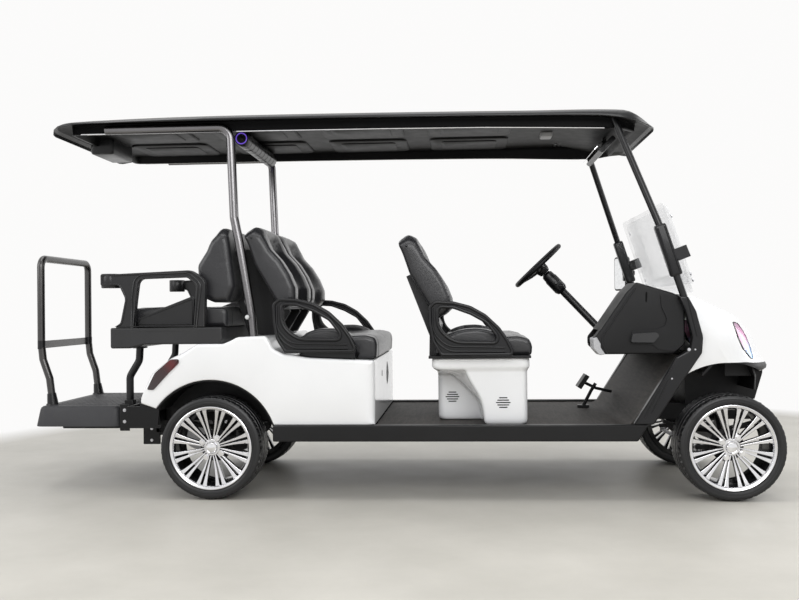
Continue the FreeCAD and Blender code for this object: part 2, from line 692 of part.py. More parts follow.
cushion_profile = [(0.0, 0.0, 8.0), (0.0, 72.0, 20.0), (60.0, 108.0, 30.0), (175.0, 126.0, 60.0),
                   (392.0, 113.0, 20.0), (446.0, 94.0, 22.0), (458.0, 41.0, 20.0), (455.0, 0.0, 10.0)]
back_profile = [(-101.0, 386.0, 60.0), (-156.0, 549.0, 12.0), (-107.0, 581.0, 25.0), (-67.0, 560.0, 15.0),
                (-47.0, 515.0, 40.0), (-27.0, 466.0, 40.0), (25.0, 409.0, 40.0), (65.0, 344.0, 40.0),
                (92.0, 278.0, 30.0), (92.0, 222.0, 20.0), (59.0, 190.0, 12.0), (25.0, 172.0, 10.0)]
arm_outer = [(18.0, 271.0, 25.0), (105.0, 266.0, 60.0), (184.0, 245.0, 80.0), (254.0, 205.0, 80.0),
             (317.0, 145.0, 80.0), (356.0, 89.0, 40.0), (382.0, 34.0, 20.0), (375.0, 14.0, 10.0),
             (45.0, 14.0, 15.0), (5.0, 80.0, 40.0), (-10.0, 160.0, 40.0), (-12.0, 243.0, 20.0)]
arm_hole = [(37.0, 238.0, 14.0), (105.0, 234.0, 50.0), (183.0, 205.0, 60.0), (254.0, 165.0, 50.0),
            (300.0, 105.0, 30.0), (305.0, 78.0, 14.0), (105.0, 82.0, 60.0), (34.0, 146.0, 30.0)]


def arm_loops(x, z, inner_y):
    loop = side_prism(placed(arm_outer, x, z), inner_y, inner_y + arm_width)
    hole = side_prism(placed(arm_hole, x, z), inner_y - 1.0, inner_y + arm_width + 1.0)
    return both_sides(loop.cut(hole))


bracket_profile = [(-121.0, 390.0), (-95.0, 402.0), (34.0, 150.0), (14.0, 12.0), (-14.0, 12.0),
                   (-12.0, 105.0)]

arm_flange_height = 60.0


def arm_flanges(x, z, half):
    # upright edges of a seat tray, to which the arm loops are bolted
    flange = box(x + 70.0, x + 350.0, half - seat_plate, half, z, z + arm_flange_height)
    return both_sides(flange)


front_tray = box(front_seat_x - 14.0, front_seat_x + 462.0, -front_tray_half, front_tray_half,
                 front_seat_z, front_seat_z + seat_plate)
bracket_half = seat_half_width - 80.0
front_bracket = side_prism(placed(bracket_profile, front_seat_x, front_seat_z), -bracket_half, bracket_half)
cushion_z = front_seat_z + seat_plate
front_cushion = side_prism(placed(cushion_profile, front_seat_x + 13.0, cushion_z),
                           -seat_half_width, seat_half_width)
front_back = side_prism(placed(back_profile, front_seat_x, cushion_z), -seat_half_width, seat_half_width)
front_frame = joined([front_tray, front_bracket] + arm_flanges(front_seat_x, front_seat_z, front_tray_half))
keep("front_seat_frame", [front_frame.cut(front_back).cut(front_cushion)])
keep("front_seat_cushion", [front_cushion])
keep("front_seat_back", [front_back])
keep("front_armrests", arm_loops(front_seat_x, front_seat_z, front_tray_half))

# Front seat base: a white pod with a broad front lobe and a narrower rear lobe
pod_top = front_seat_z
flange_half = seat_half_width + 12.0
flange = plan_prism([(front_seat_x, -flange_half, 20.0), (front_seat_x + 458.0, -flange_half, 40.0),
                     (front_seat_x + 458.0, flange_half, 40.0), (front_seat_x, flange_half, 20.0)],
                    pod_top - 44.0, pod_top)
lobe_x = front_seat_x + 235.0
lobe_front_x = front_seat_x + 439.0
front_lobe = plan_prism([(lobe_x, -seat_half_width, 40.0), (lobe_front_x, -seat_half_width, 60.0),
                         (lobe_front_x, seat_half_width, 60.0), (lobe_x, seat_half_width, 40.0)],
                        deck_top, pod_top - 40.0)
lobe_rear_x = front_seat_x + 31.0
rear_lobe = plan_prism([(lobe_rear_x, -bracket_half, 40.0), (lobe_x + 25.0, -bracket_half),
                        (lobe_x + 25.0, bracket_half), (lobe_rear_x, bracket_half, 40.0)],
                       deck_top, pod_top - 40.0)
keep("front_seat_base", [joined([flange, front_lobe, rear_lobe])])

# Middle seat on the front half of the rear body
middle_tray_top = middle_z + seat_plate
middle_frame = side_prism([(418.0, 671.0), (474.0, 662.0), (rear_body_front_x - 14.0, 648.7),
                           (830.0, 650.0, 8.0), (830.0, middle_tray_top), (418.0, middle_tray_top)],
                          -middle_tray_half, middle_tray_half)
middle_arm_x = front_seat_x - 728.0
middle_frame = joined([middle_frame.cut(outer_body)]
                      + arm_flanges(middle_arm_x + 50.0, middle_z, middle_tray_half))
keep("middle_seat_frame", [middle_frame])
keep("middle_seat_cushion", [side_prism(placed(cushion_profile, middle_seat_x - 12.0, middle_tray_top),
                                        -seat_half_width, seat_half_width)])
back_shift_x = front_seat_x - 740.0
middle_back = side_prism(placed(back_profile, back_shift_x, front_seat_z + 12.0 + middle_back_lift),
                         -seat_half_width, seat_half_width)
keep("middle_seat_back", [middle_back])
keep("middle_armrests", arm_loops(middle_arm_x, middle_z, middle_tray_half))

# Frame between the two rear seat backs, standing on the body's ridge
back_rib = [(124.0, 762.6), (262.0, 767.6), (330.0, 880.0), (179.0, 1190.0), (70.0, 1190.0), (92.0, 1000.0),
            (70.0, 925.0)]
back_frame = [box(95.0, 200.0, -300.0, 300.0, 1130.0, 1170.0)]
for y in (-300.0, -20.0, 260.0):
    back_frame.append(side_prism(back_rib, y, y + 40.0))
back_frame = joined(back_frame)

# Rear-facing seat
tray_points = [(-484.0, rear_tray_top, 8.0), (-484.0, 712.0, 10.0), (-390.0, 712.0),
               (-316.0, rear_tray_floor), (42.0, rear_tray_floor, 14.0), (55.0, 750.0, 10.0),
               (55.0, rear_tray_top, 8.0)]
keep("rear_seat_tray", [side_prism(tray_points, -rear_tray_half, rear_tray_half)])
rear_cushion = [(-440.0, rear_tray_top, 10.0), (65.0, rear_tray_top, 10.0), (65.0, 890.0, 25.0),
                (40.0, 908.0, 20.0), (-400.0, 908.0, 40.0), (-445.0, 870.0, 30.0)]
keep("rear_seat_cushion", [side_prism(rear_cushion, -seat_half_width, seat_half_width)])
rear_back = [(28.0, 1292.0, 25.0), (-13.0, 1236.0, 40.0), (-36.0, 1175.0, 40.0), (-81.0, 1106.0, 40.0),
             (-77.0, 1010.0, 40.0), (-64.0, 953.0, 20.0), (-2.0, 926.0, 20.0), (70.0, 930.0, 8.0),
             (100.0, 1000.0), (68.0, 1280.0, 12.0)]
rear_back_solid = side_prism(rear_back, -seat_half_width, seat_half_width)
keep("rear_seat_back", [rear_back_solid])
keep("seat_back_frame", [back_frame.cut(rear_back_solid).cut(middle_back).cut(outer_body)])

rear_arm_outer = [(-452.0, 1066.0, 12.0), (-91.0, 1080.0, 50.0), (-22.0, 1033.0, 50.0),
                  (-28.0, rear_tray_top), (-458.0, rear_tray_top), (-434.0, 835.0, 30.0),
                  (-410.0, 948.0, 40.0), (-440.0, 1012.0, 20.0), (-538.0, 1012.0, 12.0),
                  (-538.0, 1066.0, 12.0)]
rear_arm_hole = [(-344.0, 1040.0, 20.0), (-110.0, 1046.0, 30.0), (-66.0, 1008.0, 30.0), (-80.0, 835.0, 14.0),
                 (-374.0, 835.0, 14.0), (-358.0, 940.0, 30.0)]
arm_y0 = rear_tray_half - arm_width
rear_loop = side_prism(rear_arm_outer, arm_y0, rear_tray_half)
rear_hole = side_prism(rear_arm_hole, arm_y0 - 1.0, rear_tray_half + 1.0)
cup_y = rear_tray_half - 45.0
cup_block = cylinder(vector(-495.0, cup_y, 1000.0), vector(-495.0, cup_y, 1068.0), 45.0)
cup_hole = cylinder(vector(-495.0, cup_y, 1008.0), vector(-495.0, cup_y, 1070.0), 37.0)
keep("rear_armrests", both_sides(joined([rear_loop.cut(rear_hole), cup_block]).cut(cup_hole)))

leg = tube([vector(-435.0, leg_y, 712.0), vector(-439.0, leg_y, 640.0), vector(-479.0, leg_y, 560.0),
            vector(-479.0, leg_y, step_top - step_height)], leg_tube, 60.0)
leg = leg.cut(box(-600.0, -300.0, 0, 400.0, 712.0, 760.0))
keep("rear_seat_legs", both_sides(leg))

# Step platform on two arms from the chassis, with the tow receiver
step_bottom = step_top - step_height
step = plan_prism([(step_rear_x, -step_half_width, 30.0), (step_front_x, -step_half_width, 30.0),
                   (step_front_x, step_half_width, 30.0), (step_rear_x, step_half_width, 30.0)],
                  step_bottom, step_top)
keep("step_platform", [step])

hitch_plate = box(rail_rear_x - 20.0, rail_rear_x, -leg_y - 20.0, leg_y + 20.0, step_bottom - 40.0, high_top)
step_frame = [hitch_plate]
for side in (1, -1):
    low, high = sorted((side * (leg_y - 20.0), side * (leg_y + 20.0)))
    step_frame.append(box(-900.0, rail_rear_x - 20.0, low, high, step_bottom - 30.0, step_bottom))
    plate_low, plate_high = sorted((side * (leg_y + 6.0), side * (leg_y + 20.0)))
    step_frame.append(box(rail_rear_x - 85.0, rail_rear_x, plate_low, plate_high, 222.0, step_bottom))
receiver = box(rail_rear_x - 150.0, rail_rear_x - 20.0, -38.0, 38.0, hitch_z - 38.0, hitch_z + 38.0)
receiver_hole = box(rail_rear_x - 160.0, rail_rear_x - 30.0, -26.0, 26.0, hitch_z - 26.0, hitch_z + 26.0)
step_frame.append(receiver)
step_frame.append(box(rail_rear_x - 20.0, rail_rear_x, -60.0, 60.0, hitch_z - 38.0, high_top))
hitch_pin_r = 8.1
hitch_pin_x = rail_rear_x - 115.0
hitch_pin = cylinder(vector(hitch_pin_x, -50.0, hitch_z), vector(hitch_pin_x, 50.0, hitch_z), hitch_pin_r)
keep("step_frame", [joined(step_frame).cut(receiver_hole).cut(hitch_pin)])

half = handle_half_width
handle_posts = tube([
    vector(-886.0, -half, step_top), vector(-902.0, -half, 552.0), vector(-938.0, -half, 649.0),
    vector(handle_x, -half, 730.0), vector(handle_x, -half, handle_top), vector(handle_x, half, handle_top),
    vector(handle_x, half, 730.0), vector(-938.0, half, 649.0), vector(-902.0, half, 552.0),
    vector(-886.0, half, step_top)], handle_tube, 40.0)
handle_bar = cylinder(vector(handle_x, -half, 723.0), vector(handle_x, half, 723.0), handle_tube / 2 - 2.0)
feet = [cylinder(vector(-886.0, s * half, step_top), vector(-886.0, s * half, step_top + 8.0), 28.0)
        for s in (1, -1)]
handle = joined([handle_posts, handle_bar] + feet)
keep("grab_handle", [handle.cut(box(-1200.0, -700.0, -500.0, 500.0, 300.0, step_top))])

# Roof: a moulded canopy with a turned-down rim, raised pads and a recessed underside

roof_side = [(roof_rear_x, roof_top - 55.0, 10.0), (roof_rear_x + 95.0, roof_top - 16.0, 60.0),
             (-104.0, roof_top, 200.0),
             (900.0, roof_top - 4.0), (roof_front_x - 182.0, roof_top - 14.0, 60.0),
             (roof_front_x - 73.0, roof_top - 46.0, 40.0), (roof_front_x, roof_top - 74.0, 6.0),
             (roof_front_x - 113.0, roof_top - 103.0, 20.0),
             (roof_front_x - 293.0, roof_top - 101.0, 30.0),
             (600.0, roof_edge_bottom, 300.0),
             (roof_rear_x + 90.0, roof_edge_bottom, 20.0)]
roof_block = side_prism(roof_side, -roof_half_width, roof_half_width)
roof_plan = plan_prism([
    (roof_rear_x, -roof_half_width, 120.0), (roof_front_x - 120.0, -roof_half_width, 140.0),
    (roof_front_x, 160.0 - roof_half_width, 80.0), (roof_front_x, roof_half_width - 160.0, 80.0),
    (roof_front_x - 120.0, roof_half_width, 140.0),
    (roof_rear_x, roof_half_width, 120.0)], 1600.0, 1900.0)
recess_half = roof_half_width - roof_rim
recess_x0 = roof_rear_x + 80.0
recess_x1 = roof_front_x - 163.0
recess = plan_prism([(recess_x0, -recess_half, 80.0), (recess_x1, -recess_half, 80.0),
                     (recess_x1, recess_half, 80.0), (recess_x0, recess_half, 80.0)], 1600.0, roof_liner_z)
pad_rows = [(-640.0, -470.0), (-90.0, 80.0), (440.0, 610.0), (990.0, 1160.0),
            (roof_front_x - 723.0, roof_front_x - 243.0)]
pad_half = roof_half_width - 150.0
pads = []
for x0, x1 in pad_rows:
    pad_plan = [(x0, -pad_half, 20.0), (x1, -pad_half, 20.0), (x1, pad_half, 20.0), (x0, pad_half, 20.0)]
    pads.append(plan_prism(pad_plan, roof_liner_z, roof_top + roof_pad_height - 6.0))
roof = joined([roof_block.common(roof_plan)] + pads).cut(recess)
keep("roof", [roof])

# Rear struts: along the roof, then down between the seat backs to the body's ridge
strut_z = roof_liner_z - rear_strut_tube / 2 - fit_gap
rear_strut = tube([
    vector(-527.0, rear_strut_y, strut_z), vector(84.0, rear_strut_y, strut_z),
    vector(100.0, rear_strut_y, 1331.0), vector(124.0, rear_strut_y, 1209.0),
    vector(181.0, rear_strut_y, 855.0), vector(188.0, rear_strut_y, 758.0)], rear_strut_tube, 60.0)
keep("rear_struts", both_sides(rear_strut.cut(outer_body)))

strut_foot_z = deck_top + 590.0
front_foot = vector(wheelbase - 210.0, front_strut_foot_y, strut_foot_z)
front_mid = vector(wheelbase - 315.0, front_strut_foot_y - 5.0, strut_foot_z + 328.0)
front_high = vector(roof_front_x - 181.0, front_strut_top_y, roof_liner_z - 85.0)
front_tip = vector(roof_front_x - 208.0, front_strut_top_y - 18.0, roof_liner_z)
front_strut = tube([front_foot - vector(-6.0, 0, 18.0), front_mid, front_high, front_tip],
                   front_strut_tube, 120.0)
trim = box(wheelbase - 400.0, wheelbase, 400.0, past_side, strut_foot_z - 130.0, strut_foot_z)
cover_low = front_foot + (front_mid - front_foot) * 0.34
cover = cylinder(cover_low, front_mid, 27.0)
front_struts = joined([front_strut, cover]).cut(trim)
roof_space = box(wheelbase - 600.0, wheelbase, 300.0, past_side, roof_liner_z, roof_top + 80.0)
front_struts = front_struts.cut(roof_space).cut(roof)
keep("front_struts", both_sides(front_struts))

# Fold-down windscreen: two clear sheets in front of the struts
screen_bottom = vector(wheelbase - 162.0, 0, hood_z + fit_gap)
screen_top = screen_bottom + vector(-132.0, 0, 421.7)
lean = (screen_top - screen_bottom).normalize()
ahead = vector(lean.z, 0, -lean.x)


def sheet(offset, low, high):
    a = screen_bottom + lean * low + ahead * offset
    b = screen_bottom + lean * high + ahead * offset
    c = b + ahead * screen_thickness
    d = a + ahead * screen_thickness
    return side_prism([(a.x, a.z), (b.x, b.z), (c.x, c.z), (d.x, d.z)], -screen_half_width, screen_half_width)


screen_height = (screen_top - screen_bottom).Length
keep("windscreen", [sheet(0, 0, screen_height), sheet(14.0, 40.0, screen_height - 20.0)])

# Mirrors, speaker bar, lamps
mirror_x = wheelbase - 330.0
mirror_z = strut_foot_z + 50.0
mirror_head = box(mirror_x, mirror_x + 32.0, mirror_inner_y, mirror_reach_y, mirror_z, mirror_z + 198.0)
mirror_arm = box(mirror_x + 10.0, mirror_x + 80.0, front_strut_foot_y + 11.0, mirror_inner_y + 15.0,
                 mirror_z + 85.0, mirror_z + 115.0)
keep("side_mirror", [joined([mirror_head, mirror_arm]).cut(front_struts)])
cabin_profile = [(-55.0, -125.0, 8.0), (18.0, -50.0, 8.0), (36.0, -69.0, 8.0), (-32.0, -139.0, 8.0)]
cabin = side_prism(placed(cabin_profile, roof_front_x - 205.0, roof_liner_z), -230.0, 230.0)
cabin_stem = box(roof_front_x - 205.0, roof_front_x - 185.0, -15.0, 15.0, roof_liner_z - 73.0, roof_liner_z)
keep("cabin_mirror", [joined([cabin, cabin_stem])])

# Holders that grip the screen's edges in front of the struts
holder = box(wheelbase - 250.0, wheelbase - 178.0, screen_half_width, front_strut_foot_y + 18.0,
             strut_foot_z + 160.0, strut_foot_z + 225.0)
keep("screen_holders", both_sides(holder.cut(front_struts)))

bar_x = 105.0
bar_z = roof_liner_z - 50.0
speaker_bar = cylinder(vector(bar_x, -350.0, bar_z), vector(bar_x, 350.0, bar_z), 38.0)
bar_hangers = [box(bar_x - 20.0, bar_x + 20.0, y, y + 30.0, bar_z, roof_liner_z) for y in (-200.0, 170.0)]
rear_box = box(-745.0, -620.0, -150.0, 150.0, roof_liner_z - 77.0, roof_liner_z)
keep("speakers", [joined([speaker_bar] + bar_hangers), rear_box])

# Every piece is written with the origin under the middle of the car
for name, solids in pieces.items():
    shape = Part.makeCompound(solids) if len(solids) > 1 else solids[0].copy()
    shape.translate(vector(-middle_x, -middle_y, 0))
    shape.exportStep("parts/" + name + ".step")
    print(name, len(solids), all(s.isValid() for s in solids), round(shape.Volume / 1e6, 2))
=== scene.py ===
import math
import bmesh
import bpy
from mathutils import Matrix, Vector


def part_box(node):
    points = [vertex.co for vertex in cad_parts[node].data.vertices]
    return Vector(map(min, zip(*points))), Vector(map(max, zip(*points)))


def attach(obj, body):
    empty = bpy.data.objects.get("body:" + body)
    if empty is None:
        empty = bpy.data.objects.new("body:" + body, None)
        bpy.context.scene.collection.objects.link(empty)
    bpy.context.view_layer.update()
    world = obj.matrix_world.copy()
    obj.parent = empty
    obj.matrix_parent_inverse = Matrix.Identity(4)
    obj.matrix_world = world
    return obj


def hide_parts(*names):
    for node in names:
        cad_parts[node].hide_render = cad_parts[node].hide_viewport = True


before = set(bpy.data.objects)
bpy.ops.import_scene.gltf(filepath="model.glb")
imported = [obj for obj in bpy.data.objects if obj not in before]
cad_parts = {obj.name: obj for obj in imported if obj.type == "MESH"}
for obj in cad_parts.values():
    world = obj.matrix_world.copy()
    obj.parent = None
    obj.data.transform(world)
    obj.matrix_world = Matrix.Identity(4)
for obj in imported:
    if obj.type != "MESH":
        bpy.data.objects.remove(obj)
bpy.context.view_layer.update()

# The rear axle's middle, at ground level, is where all the places below are measured from:
# x forward, y to the left, z up, in metres
rearLow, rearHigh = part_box("tyre_rear_right")
leftLow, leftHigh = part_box("tyre_rear_left")
frontLow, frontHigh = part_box("tyre_front_right")
axleX = (rearLow.x + rearHigh.x) / 2
middleY = (rearLow.y + leftHigh.y) / 2
wheelbase = (frontLow.x + frontHigh.x) / 2 - axleX
wheelY = (leftLow.y + leftHigh.y) / 2 - middleY
tyreRadius = (rearHigh.z - rearLow.z) / 2
tyreWidth = rearHigh.y - rearLow.y


def at(x, y, z):
    return Vector((x + axleX, y + middleY, z))


# Small tools for shapes

def roundedPath(corners, closed, steps=6):
    # corners are (point, radius); returns points with each corner turned into an arc
    points = []
    count = len(corners)
    for i, (corner, radius) in enumerate(corners):
        isEnd = not closed and i in (0, count - 1)
        if radius <= 0 or isEnd:
            points.append(corner.copy())
            continue
        before = (corners[i - 1][0] - corner).normalized()
        after = (corners[(i + 1) % count][0] - corner).normalized()
        half = before.angle(after) / 2
        if half < 0.02 or half > math.pi / 2 - 0.01:
            points.append(corner.copy())
            continue
        centre = corner + (before + after).normalized() * (radius / math.sin(half))
        start = corner + before * (radius / math.tan(half)) - centre
        end = corner + after * (radius / math.tan(half)) - centre
        for k in range(steps + 1):
            points.append(centre + start.slerp(end, k / steps) * radius)
    return points


def outline(rows, steps=6):
    # rows are (x, z) or (x, z, corner radius) in metres; returns rounded (x, z) pairs
    corners = [(Vector((r[0], 0, r[1])), r[2] if len(r) > 2 else 0) for r in rows]
    return [(p.x, p.z) for p in roundedPath(corners, True, steps)]


def resample(points, count):
    # equal steps along a closed outline of (x, z) pairs
    lengths = [math.dist(points[i], points[(i + 1) % len(points)]) for i in range(len(points))]
    total = sum(lengths)
    result = []
    index, walked = 0, 0.0
    for k in range(count):
        goal = total * k / count
        while walked + lengths[index] < goal:
            walked += lengths[index]
            index += 1
        share = (goal - walked) / lengths[index] if lengths[index] > 1e-12 else 0.0
        a, b = points[index], points[(index + 1) % len(points)]
        result.append((a[0] + (b[0] - a[0]) * share, a[1] + (b[1] - a[1]) * share))
    return result


def inwardNormals(points):
    area = sum(a[0] * b[1] - b[0] * a[1] for a, b in zip(points, points[1:] + points[:1]))
    sign = 1.0 if area > 0 else -1.0
    normals = []
    count = len(points)
    for i in range(count):
        a, b = points[i - 1], points[(i + 1) % count]
        dx, dz = b[0] - a[0], b[1] - a[1]
        length = math.hypot(dx, dz) or 1.0
        normals.append((-dz / length * sign, dx / length * sign))
    return normals


def insetOutline(points, distance):
    return [(x + n[0] * distance, z + n[1] * distance) for (x, z), n in zip(points, inwardNormals(points))]


def smooth(t):
    t = max(0.0, min(1.0, t))
    return t * t * (3 - 2 * t)


def rise(x, start, blend):
    # from nothing at the start to one after the blend
    return smooth((x - start) / blend)


def bell(x, high, middle, spread):
    return high * math.exp(-((x - middle) / spread) ** 2)


def drawIn(edge, fromEnd):
    # how far a surface with a rounded edge draws in at a distance from its end
    rest = max(0.0, edge - fromEnd)
    return edge - math.sqrt(max(0.0, edge * edge - rest * rest))


def along(rows, x):
    # value at x on a smooth line through (x, value) rows
    if x <= rows[0][0]:
        return rows[0][1]
    for i, ((xa, a), (xb, b)) in enumerate(zip(rows, rows[1:])):
        if x <= xb:
            before = rows[max(i - 1, 0)]
            after = rows[min(i + 2, len(rows) - 1)]
            slopeA = (b - before[1]) / (xb - before[0]) * (xb - xa)
            slopeB = (after[1] - a) / (after[0] - xa) * (xb - xa)
            t = (x - xa) / (xb - xa)
            return ((2 * t ** 3 - 3 * t ** 2 + 1) * a + (t ** 3 - 2 * t ** 2 + t) * slopeA
                    + (3 * t ** 2 - 2 * t ** 3) * b + (t ** 3 - t ** 2) * slopeB)
    return rows[-1][1]


def roundRect(x0, x1, z0, z1, corner, steps=6):
    return outline([(x0, z0, corner), (x1, z0, corner), (x1, z1, corner), (x0, z1, corner)], steps)


def onPlane(rows, y):
    # the places of (x, z) rows in the upright plane at y
    return [at(x, y, z) for x, z in rows]


def radialAt(turn):
    return Vector((math.cos(turn), 0, math.sin(turn)))


def addObject(name, data):
    obj = bpy.data.objects.new(name, data)
    bpy.context.scene.collection.objects.link(obj)
    return obj


def toData(name, mesh):
    # a bmesh turned into plain mesh data
    data = bpy.data.meshes.new(name)
    mesh.to_mesh(data)
    mesh.free()
    return data


def makeObject(name, mesh, materials, slot, nodes=(), angle=35, body="cart"):
    # nodes are the solids that the piece stands for
    bmesh.ops.recalc_face_normals(mesh, faces=mesh.faces)
    data = toData(name, mesh)
    obj = addObject(name, data)
    for material in materials if isinstance(materials, list) else [materials]:
        data.materials.append(material)
    shade(obj, angle)
    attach(obj, body)
    if nodes:
        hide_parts(*nodes)
    return obj


def shade(obj, angle=35):
    for polygon in obj.data.polygons:
        polygon.use_smooth = True
    edges = bmesh.new()
    edges.from_mesh(obj.data)
    limit = math.radians(angle)
    for edge in edges.edges:
        if len(edge.link_faces) == 2 and edge.calc_face_angle(0) > limit:
            edge.smooth = False
    edges.to_mesh(obj.data)
    edges.free()


def applyModifiers(obj):
    graph = bpy.context.evaluated_depsgraph_get()
    done = bpy.data.meshes.new_from_object(obj.evaluated_get(graph))
    old = obj.data
    obj.modifiers.clear()
    obj.data = done
    bpy.data.meshes.remove(old)


def bevelled(obj, width, segments=2, angle=30):
    bevel = obj.modifiers.new("soft edges", "BEVEL")
    bevel.width = width
    bevel.segments = segments
    bevel.limit_method = "ANGLE"
    bevel.angle_limit = math.radians(angle)
    bevel.harden_normals = False
    applyModifiers(obj)
    shade(obj, 40)


def addMesh(mesh, part):
    # adds a finished form to a bmesh, and clears it away
    if isinstance(part, bmesh.types.BMesh):
        part = toData("part", part)
    mesh.from_mesh(part)
    bpy.data.meshes.remove(part)


def bothSides(make):
    # one mesh from the same form made on the left and on the right
    mesh = bmesh.new()
    for side in (1, -1):
        addMesh(mesh, make(side))
    return mesh


def carve(obj, *cutters, operation="DIFFERENCE"):
    for cutter in cutters:
        bmesh.ops.recalc_face_normals(cutter, faces=cutter.faces)
        data = toData("knife", cutter)
        knife = addObject("knife", data)
        tool = obj.modifiers.new("cut", "BOOLEAN")
        tool.solver = "MANIFOLD"
        tool.operation = operation
        tool.object = knife
        applyModifiers(obj)
        bpy.data.objects.remove(knife)
        bpy.data.meshes.remove(data)


def skin(mesh, loops, caps=True, closed=True, finish=None, skip=None):
    # faces from each row of points to the next; finish and skip get the row's and the point's number
    for i, (a, b) in enumerate(zip(loops, loops[1:])):
        for j in range(len(a) if closed else len(a) - 1):
            if skip and skip(i, j):
                continue
            k = (j + 1) % len(a)
            face = mesh.faces.new((a[j], a[k], b[k], b[j]))
            face.material_index = finish(i, j) if finish else 0
    for end in (loops[0], loops[-1]) if caps else ():
        mesh.faces.new(end)


def plate(points, y0, y1, holes=()):
    # a slab with a side outline, from y0 to y1; holes are more outlines
    mesh = bmesh.new()
    loops = []
    for loop in (points, *holes):
        verts = [mesh.verts.new(at(x, y0, z)) for x, z in loop]
        edges = [mesh.edges.new((verts[i - 1], verts[i])) for i in range(len(verts))]
        loops.append(edges)
    if holes:
        bmesh.ops.triangle_fill(mesh, edges=[e for loop in loops for e in loop], use_dissolve=True)
    else:
        mesh.faces.new([e.verts[0] for e in loops[0]])
    sweep = bmesh.ops.extrude_face_region(mesh, geom=list(mesh.faces))
    moved = [v for v in sweep["geom"] if isinstance(v, bmesh.types.BMVert)]
    bmesh.ops.translate(mesh, verts=moved, vec=(0, y1 - y0, 0))
    return mesh


beyond = 0.8


def crossCut(rows):
    # a cutter from beyond one side of the cart to beyond the other
    return plate(rows, -beyond, beyond)


def addBox(mesh, centre, size, turn=None):
    made = bmesh.ops.create_cube(mesh, size=1)
    place = Matrix.Translation(centre) @ (turn or Matrix.Identity(4)) @ Matrix.Diagonal((*size, 1))
    bmesh.ops.transform(mesh, matrix=place, verts=made["verts"])


def addCylinder(mesh, start, end, radius, steps=32, endRadius=None, material=0):
    run = end - start
    made = bmesh.ops.create_cone(mesh, cap_ends=True, segments=steps, radius1=radius,
                                 radius2=radius if endRadius is None else endRadius, depth=run.length)
    turn = run.to_track_quat("Z", "Y").to_matrix().to_4x4()
    bmesh.ops.transform(mesh, matrix=Matrix.Translation((start + end) / 2) @ turn, verts=made["verts"])
    for face in {face for vert in made["verts"] for face in vert.link_faces}:
        face.material_index = material


def revolve(mesh, profile, centre, axis, steps, closed=True, material=0):
    # profile rows are (distance along the axis, radius)
    axis = axis.normalized()
    side = axis.orthogonal().normalized()
    other = axis.cross(side)
    rings = []
    for i in range(steps):
        turn = 2 * math.pi * i / steps
        out = side * math.cos(turn) + other * math.sin(turn)
        rings.append([mesh.verts.new(centre + axis * w + out * r) for w, r in profile])
    skin(mesh, rings + rings[:1], False, closed, lambda i, j: material)
    return rings


def tubeMesh(points, radius, bend=0.0, closed=False, sides=4):
    # a round tube along a route of points whose corners are arcs of the given radius
    route = roundedPath([(p, bend) for p in points], closed, 8)
    curve = bpy.data.curves.new("route", "CURVE")
    curve.dimensions = "3D"
    curve.bevel_depth = radius
    curve.bevel_resolution = sides
    curve.use_fill_caps = True
    spline = curve.splines.new("POLY")
    spline.points.add(len(route) - 1)
    for point, place in zip(spline.points, route):
        point.co = (*place, 1)
    spline.use_cyclic_u = closed
    holder = addObject("route", curve)
    graph = bpy.context.evaluated_depsgraph_get()
    mesh = bpy.data.meshes.new_from_object(holder.evaluated_get(graph))
    bpy.data.objects.remove(holder)
    bpy.data.curves.remove(curve)
    return mesh


def tubes(name, routes, radius, material, bend=0.0, closed=False, sides=4, **rest):
    # several tubes joined as one piece
    mesh = bmesh.new()
    for route in routes:
        addMesh(mesh, tubeMesh(route, radius, bend, closed, sides))
    makeObject(name, mesh, material, **rest)


def loft(mesh, shapeAt, y0, y1, edges, turns, spans, leaveOut=None):
    # skin from y0 to y1: shapeAt(share of the way) is the outline there, and each of its points
    # draws in near both ends as if rounded by its own edge radius
    width = y1 - y0
    biggest = max(edges)
    places = [biggest * (1 - math.cos(math.pi / 2 * k / turns)) for k in range(turns)]
    places += [biggest + (width - 2 * biggest) * k / spans for k in range(spans + 1)]
    places += [width - p for p in reversed(places[:turns])]
    loops = []
    for distance in places:
        fromSide = min(distance, width - distance)
        shape = shapeAt(distance / width)
        loop = []
        for (x, z), n, edge in zip(shape, inwardNormals(shape), edges):
            inset = drawIn(edge, fromSide)
            loop.append(mesh.verts.new(at(x + n[0] * inset, y0 + distance, z + n[1] * inset)))
        loops.append(loop)

    def isOpen(i, j):
        between = turns <= i < len(loops) - turns - 1
        return between and leaveOut(shape[j]) and leaveOut(shape[(j + 1) % len(shape)])

    skin(mesh, loops, False, skip=leaveOut and isOpen)
    for loop in (loops[0], loops[-1]):
        rim = [mesh.edges.get((loop[j - 1], loop[j])) for j in range(len(loop))]
        bmesh.ops.triangle_fill(mesh, use_beauty=True, use_dissolve=False, edges=rim)


def roundedSlab(mesh, x0, x1, y0, y1, z0, z1, corner, edge):
    # pad with round corners in plan and a rounded far edge; z1 may be below z0
    plan = roundRect(x0, x1, y0, y1, corner)
    up = 1 if z1 > z0 else -1
    skin(mesh, [[mesh.verts.new(at(x, y, z)) for x, y in insetOutline(plan, inset)] for inset, z in
                ((0, z0), (0, z1 - up * edge), (edge * 0.3, z1 - up * edge * 0.3), (edge, z1))])


def softened(node, name, width, material, slot, body="cart"):
    # a copy of a solid's own mesh with its hard edges rounded
    mesh = bmesh.new()
    mesh.from_mesh(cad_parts[node].data)
    bmesh.ops.remove_doubles(mesh, verts=mesh.verts, dist=1e-5)
    bmesh.ops.dissolve_limit(mesh, angle_limit=math.radians(1.0), verts=mesh.verts, edges=mesh.edges)
    for face in mesh.faces:
        face.material_index = 0
    obj = makeObject(name, mesh, material, slot, [node], body=body)
    bevelled(obj, width)
    return obj


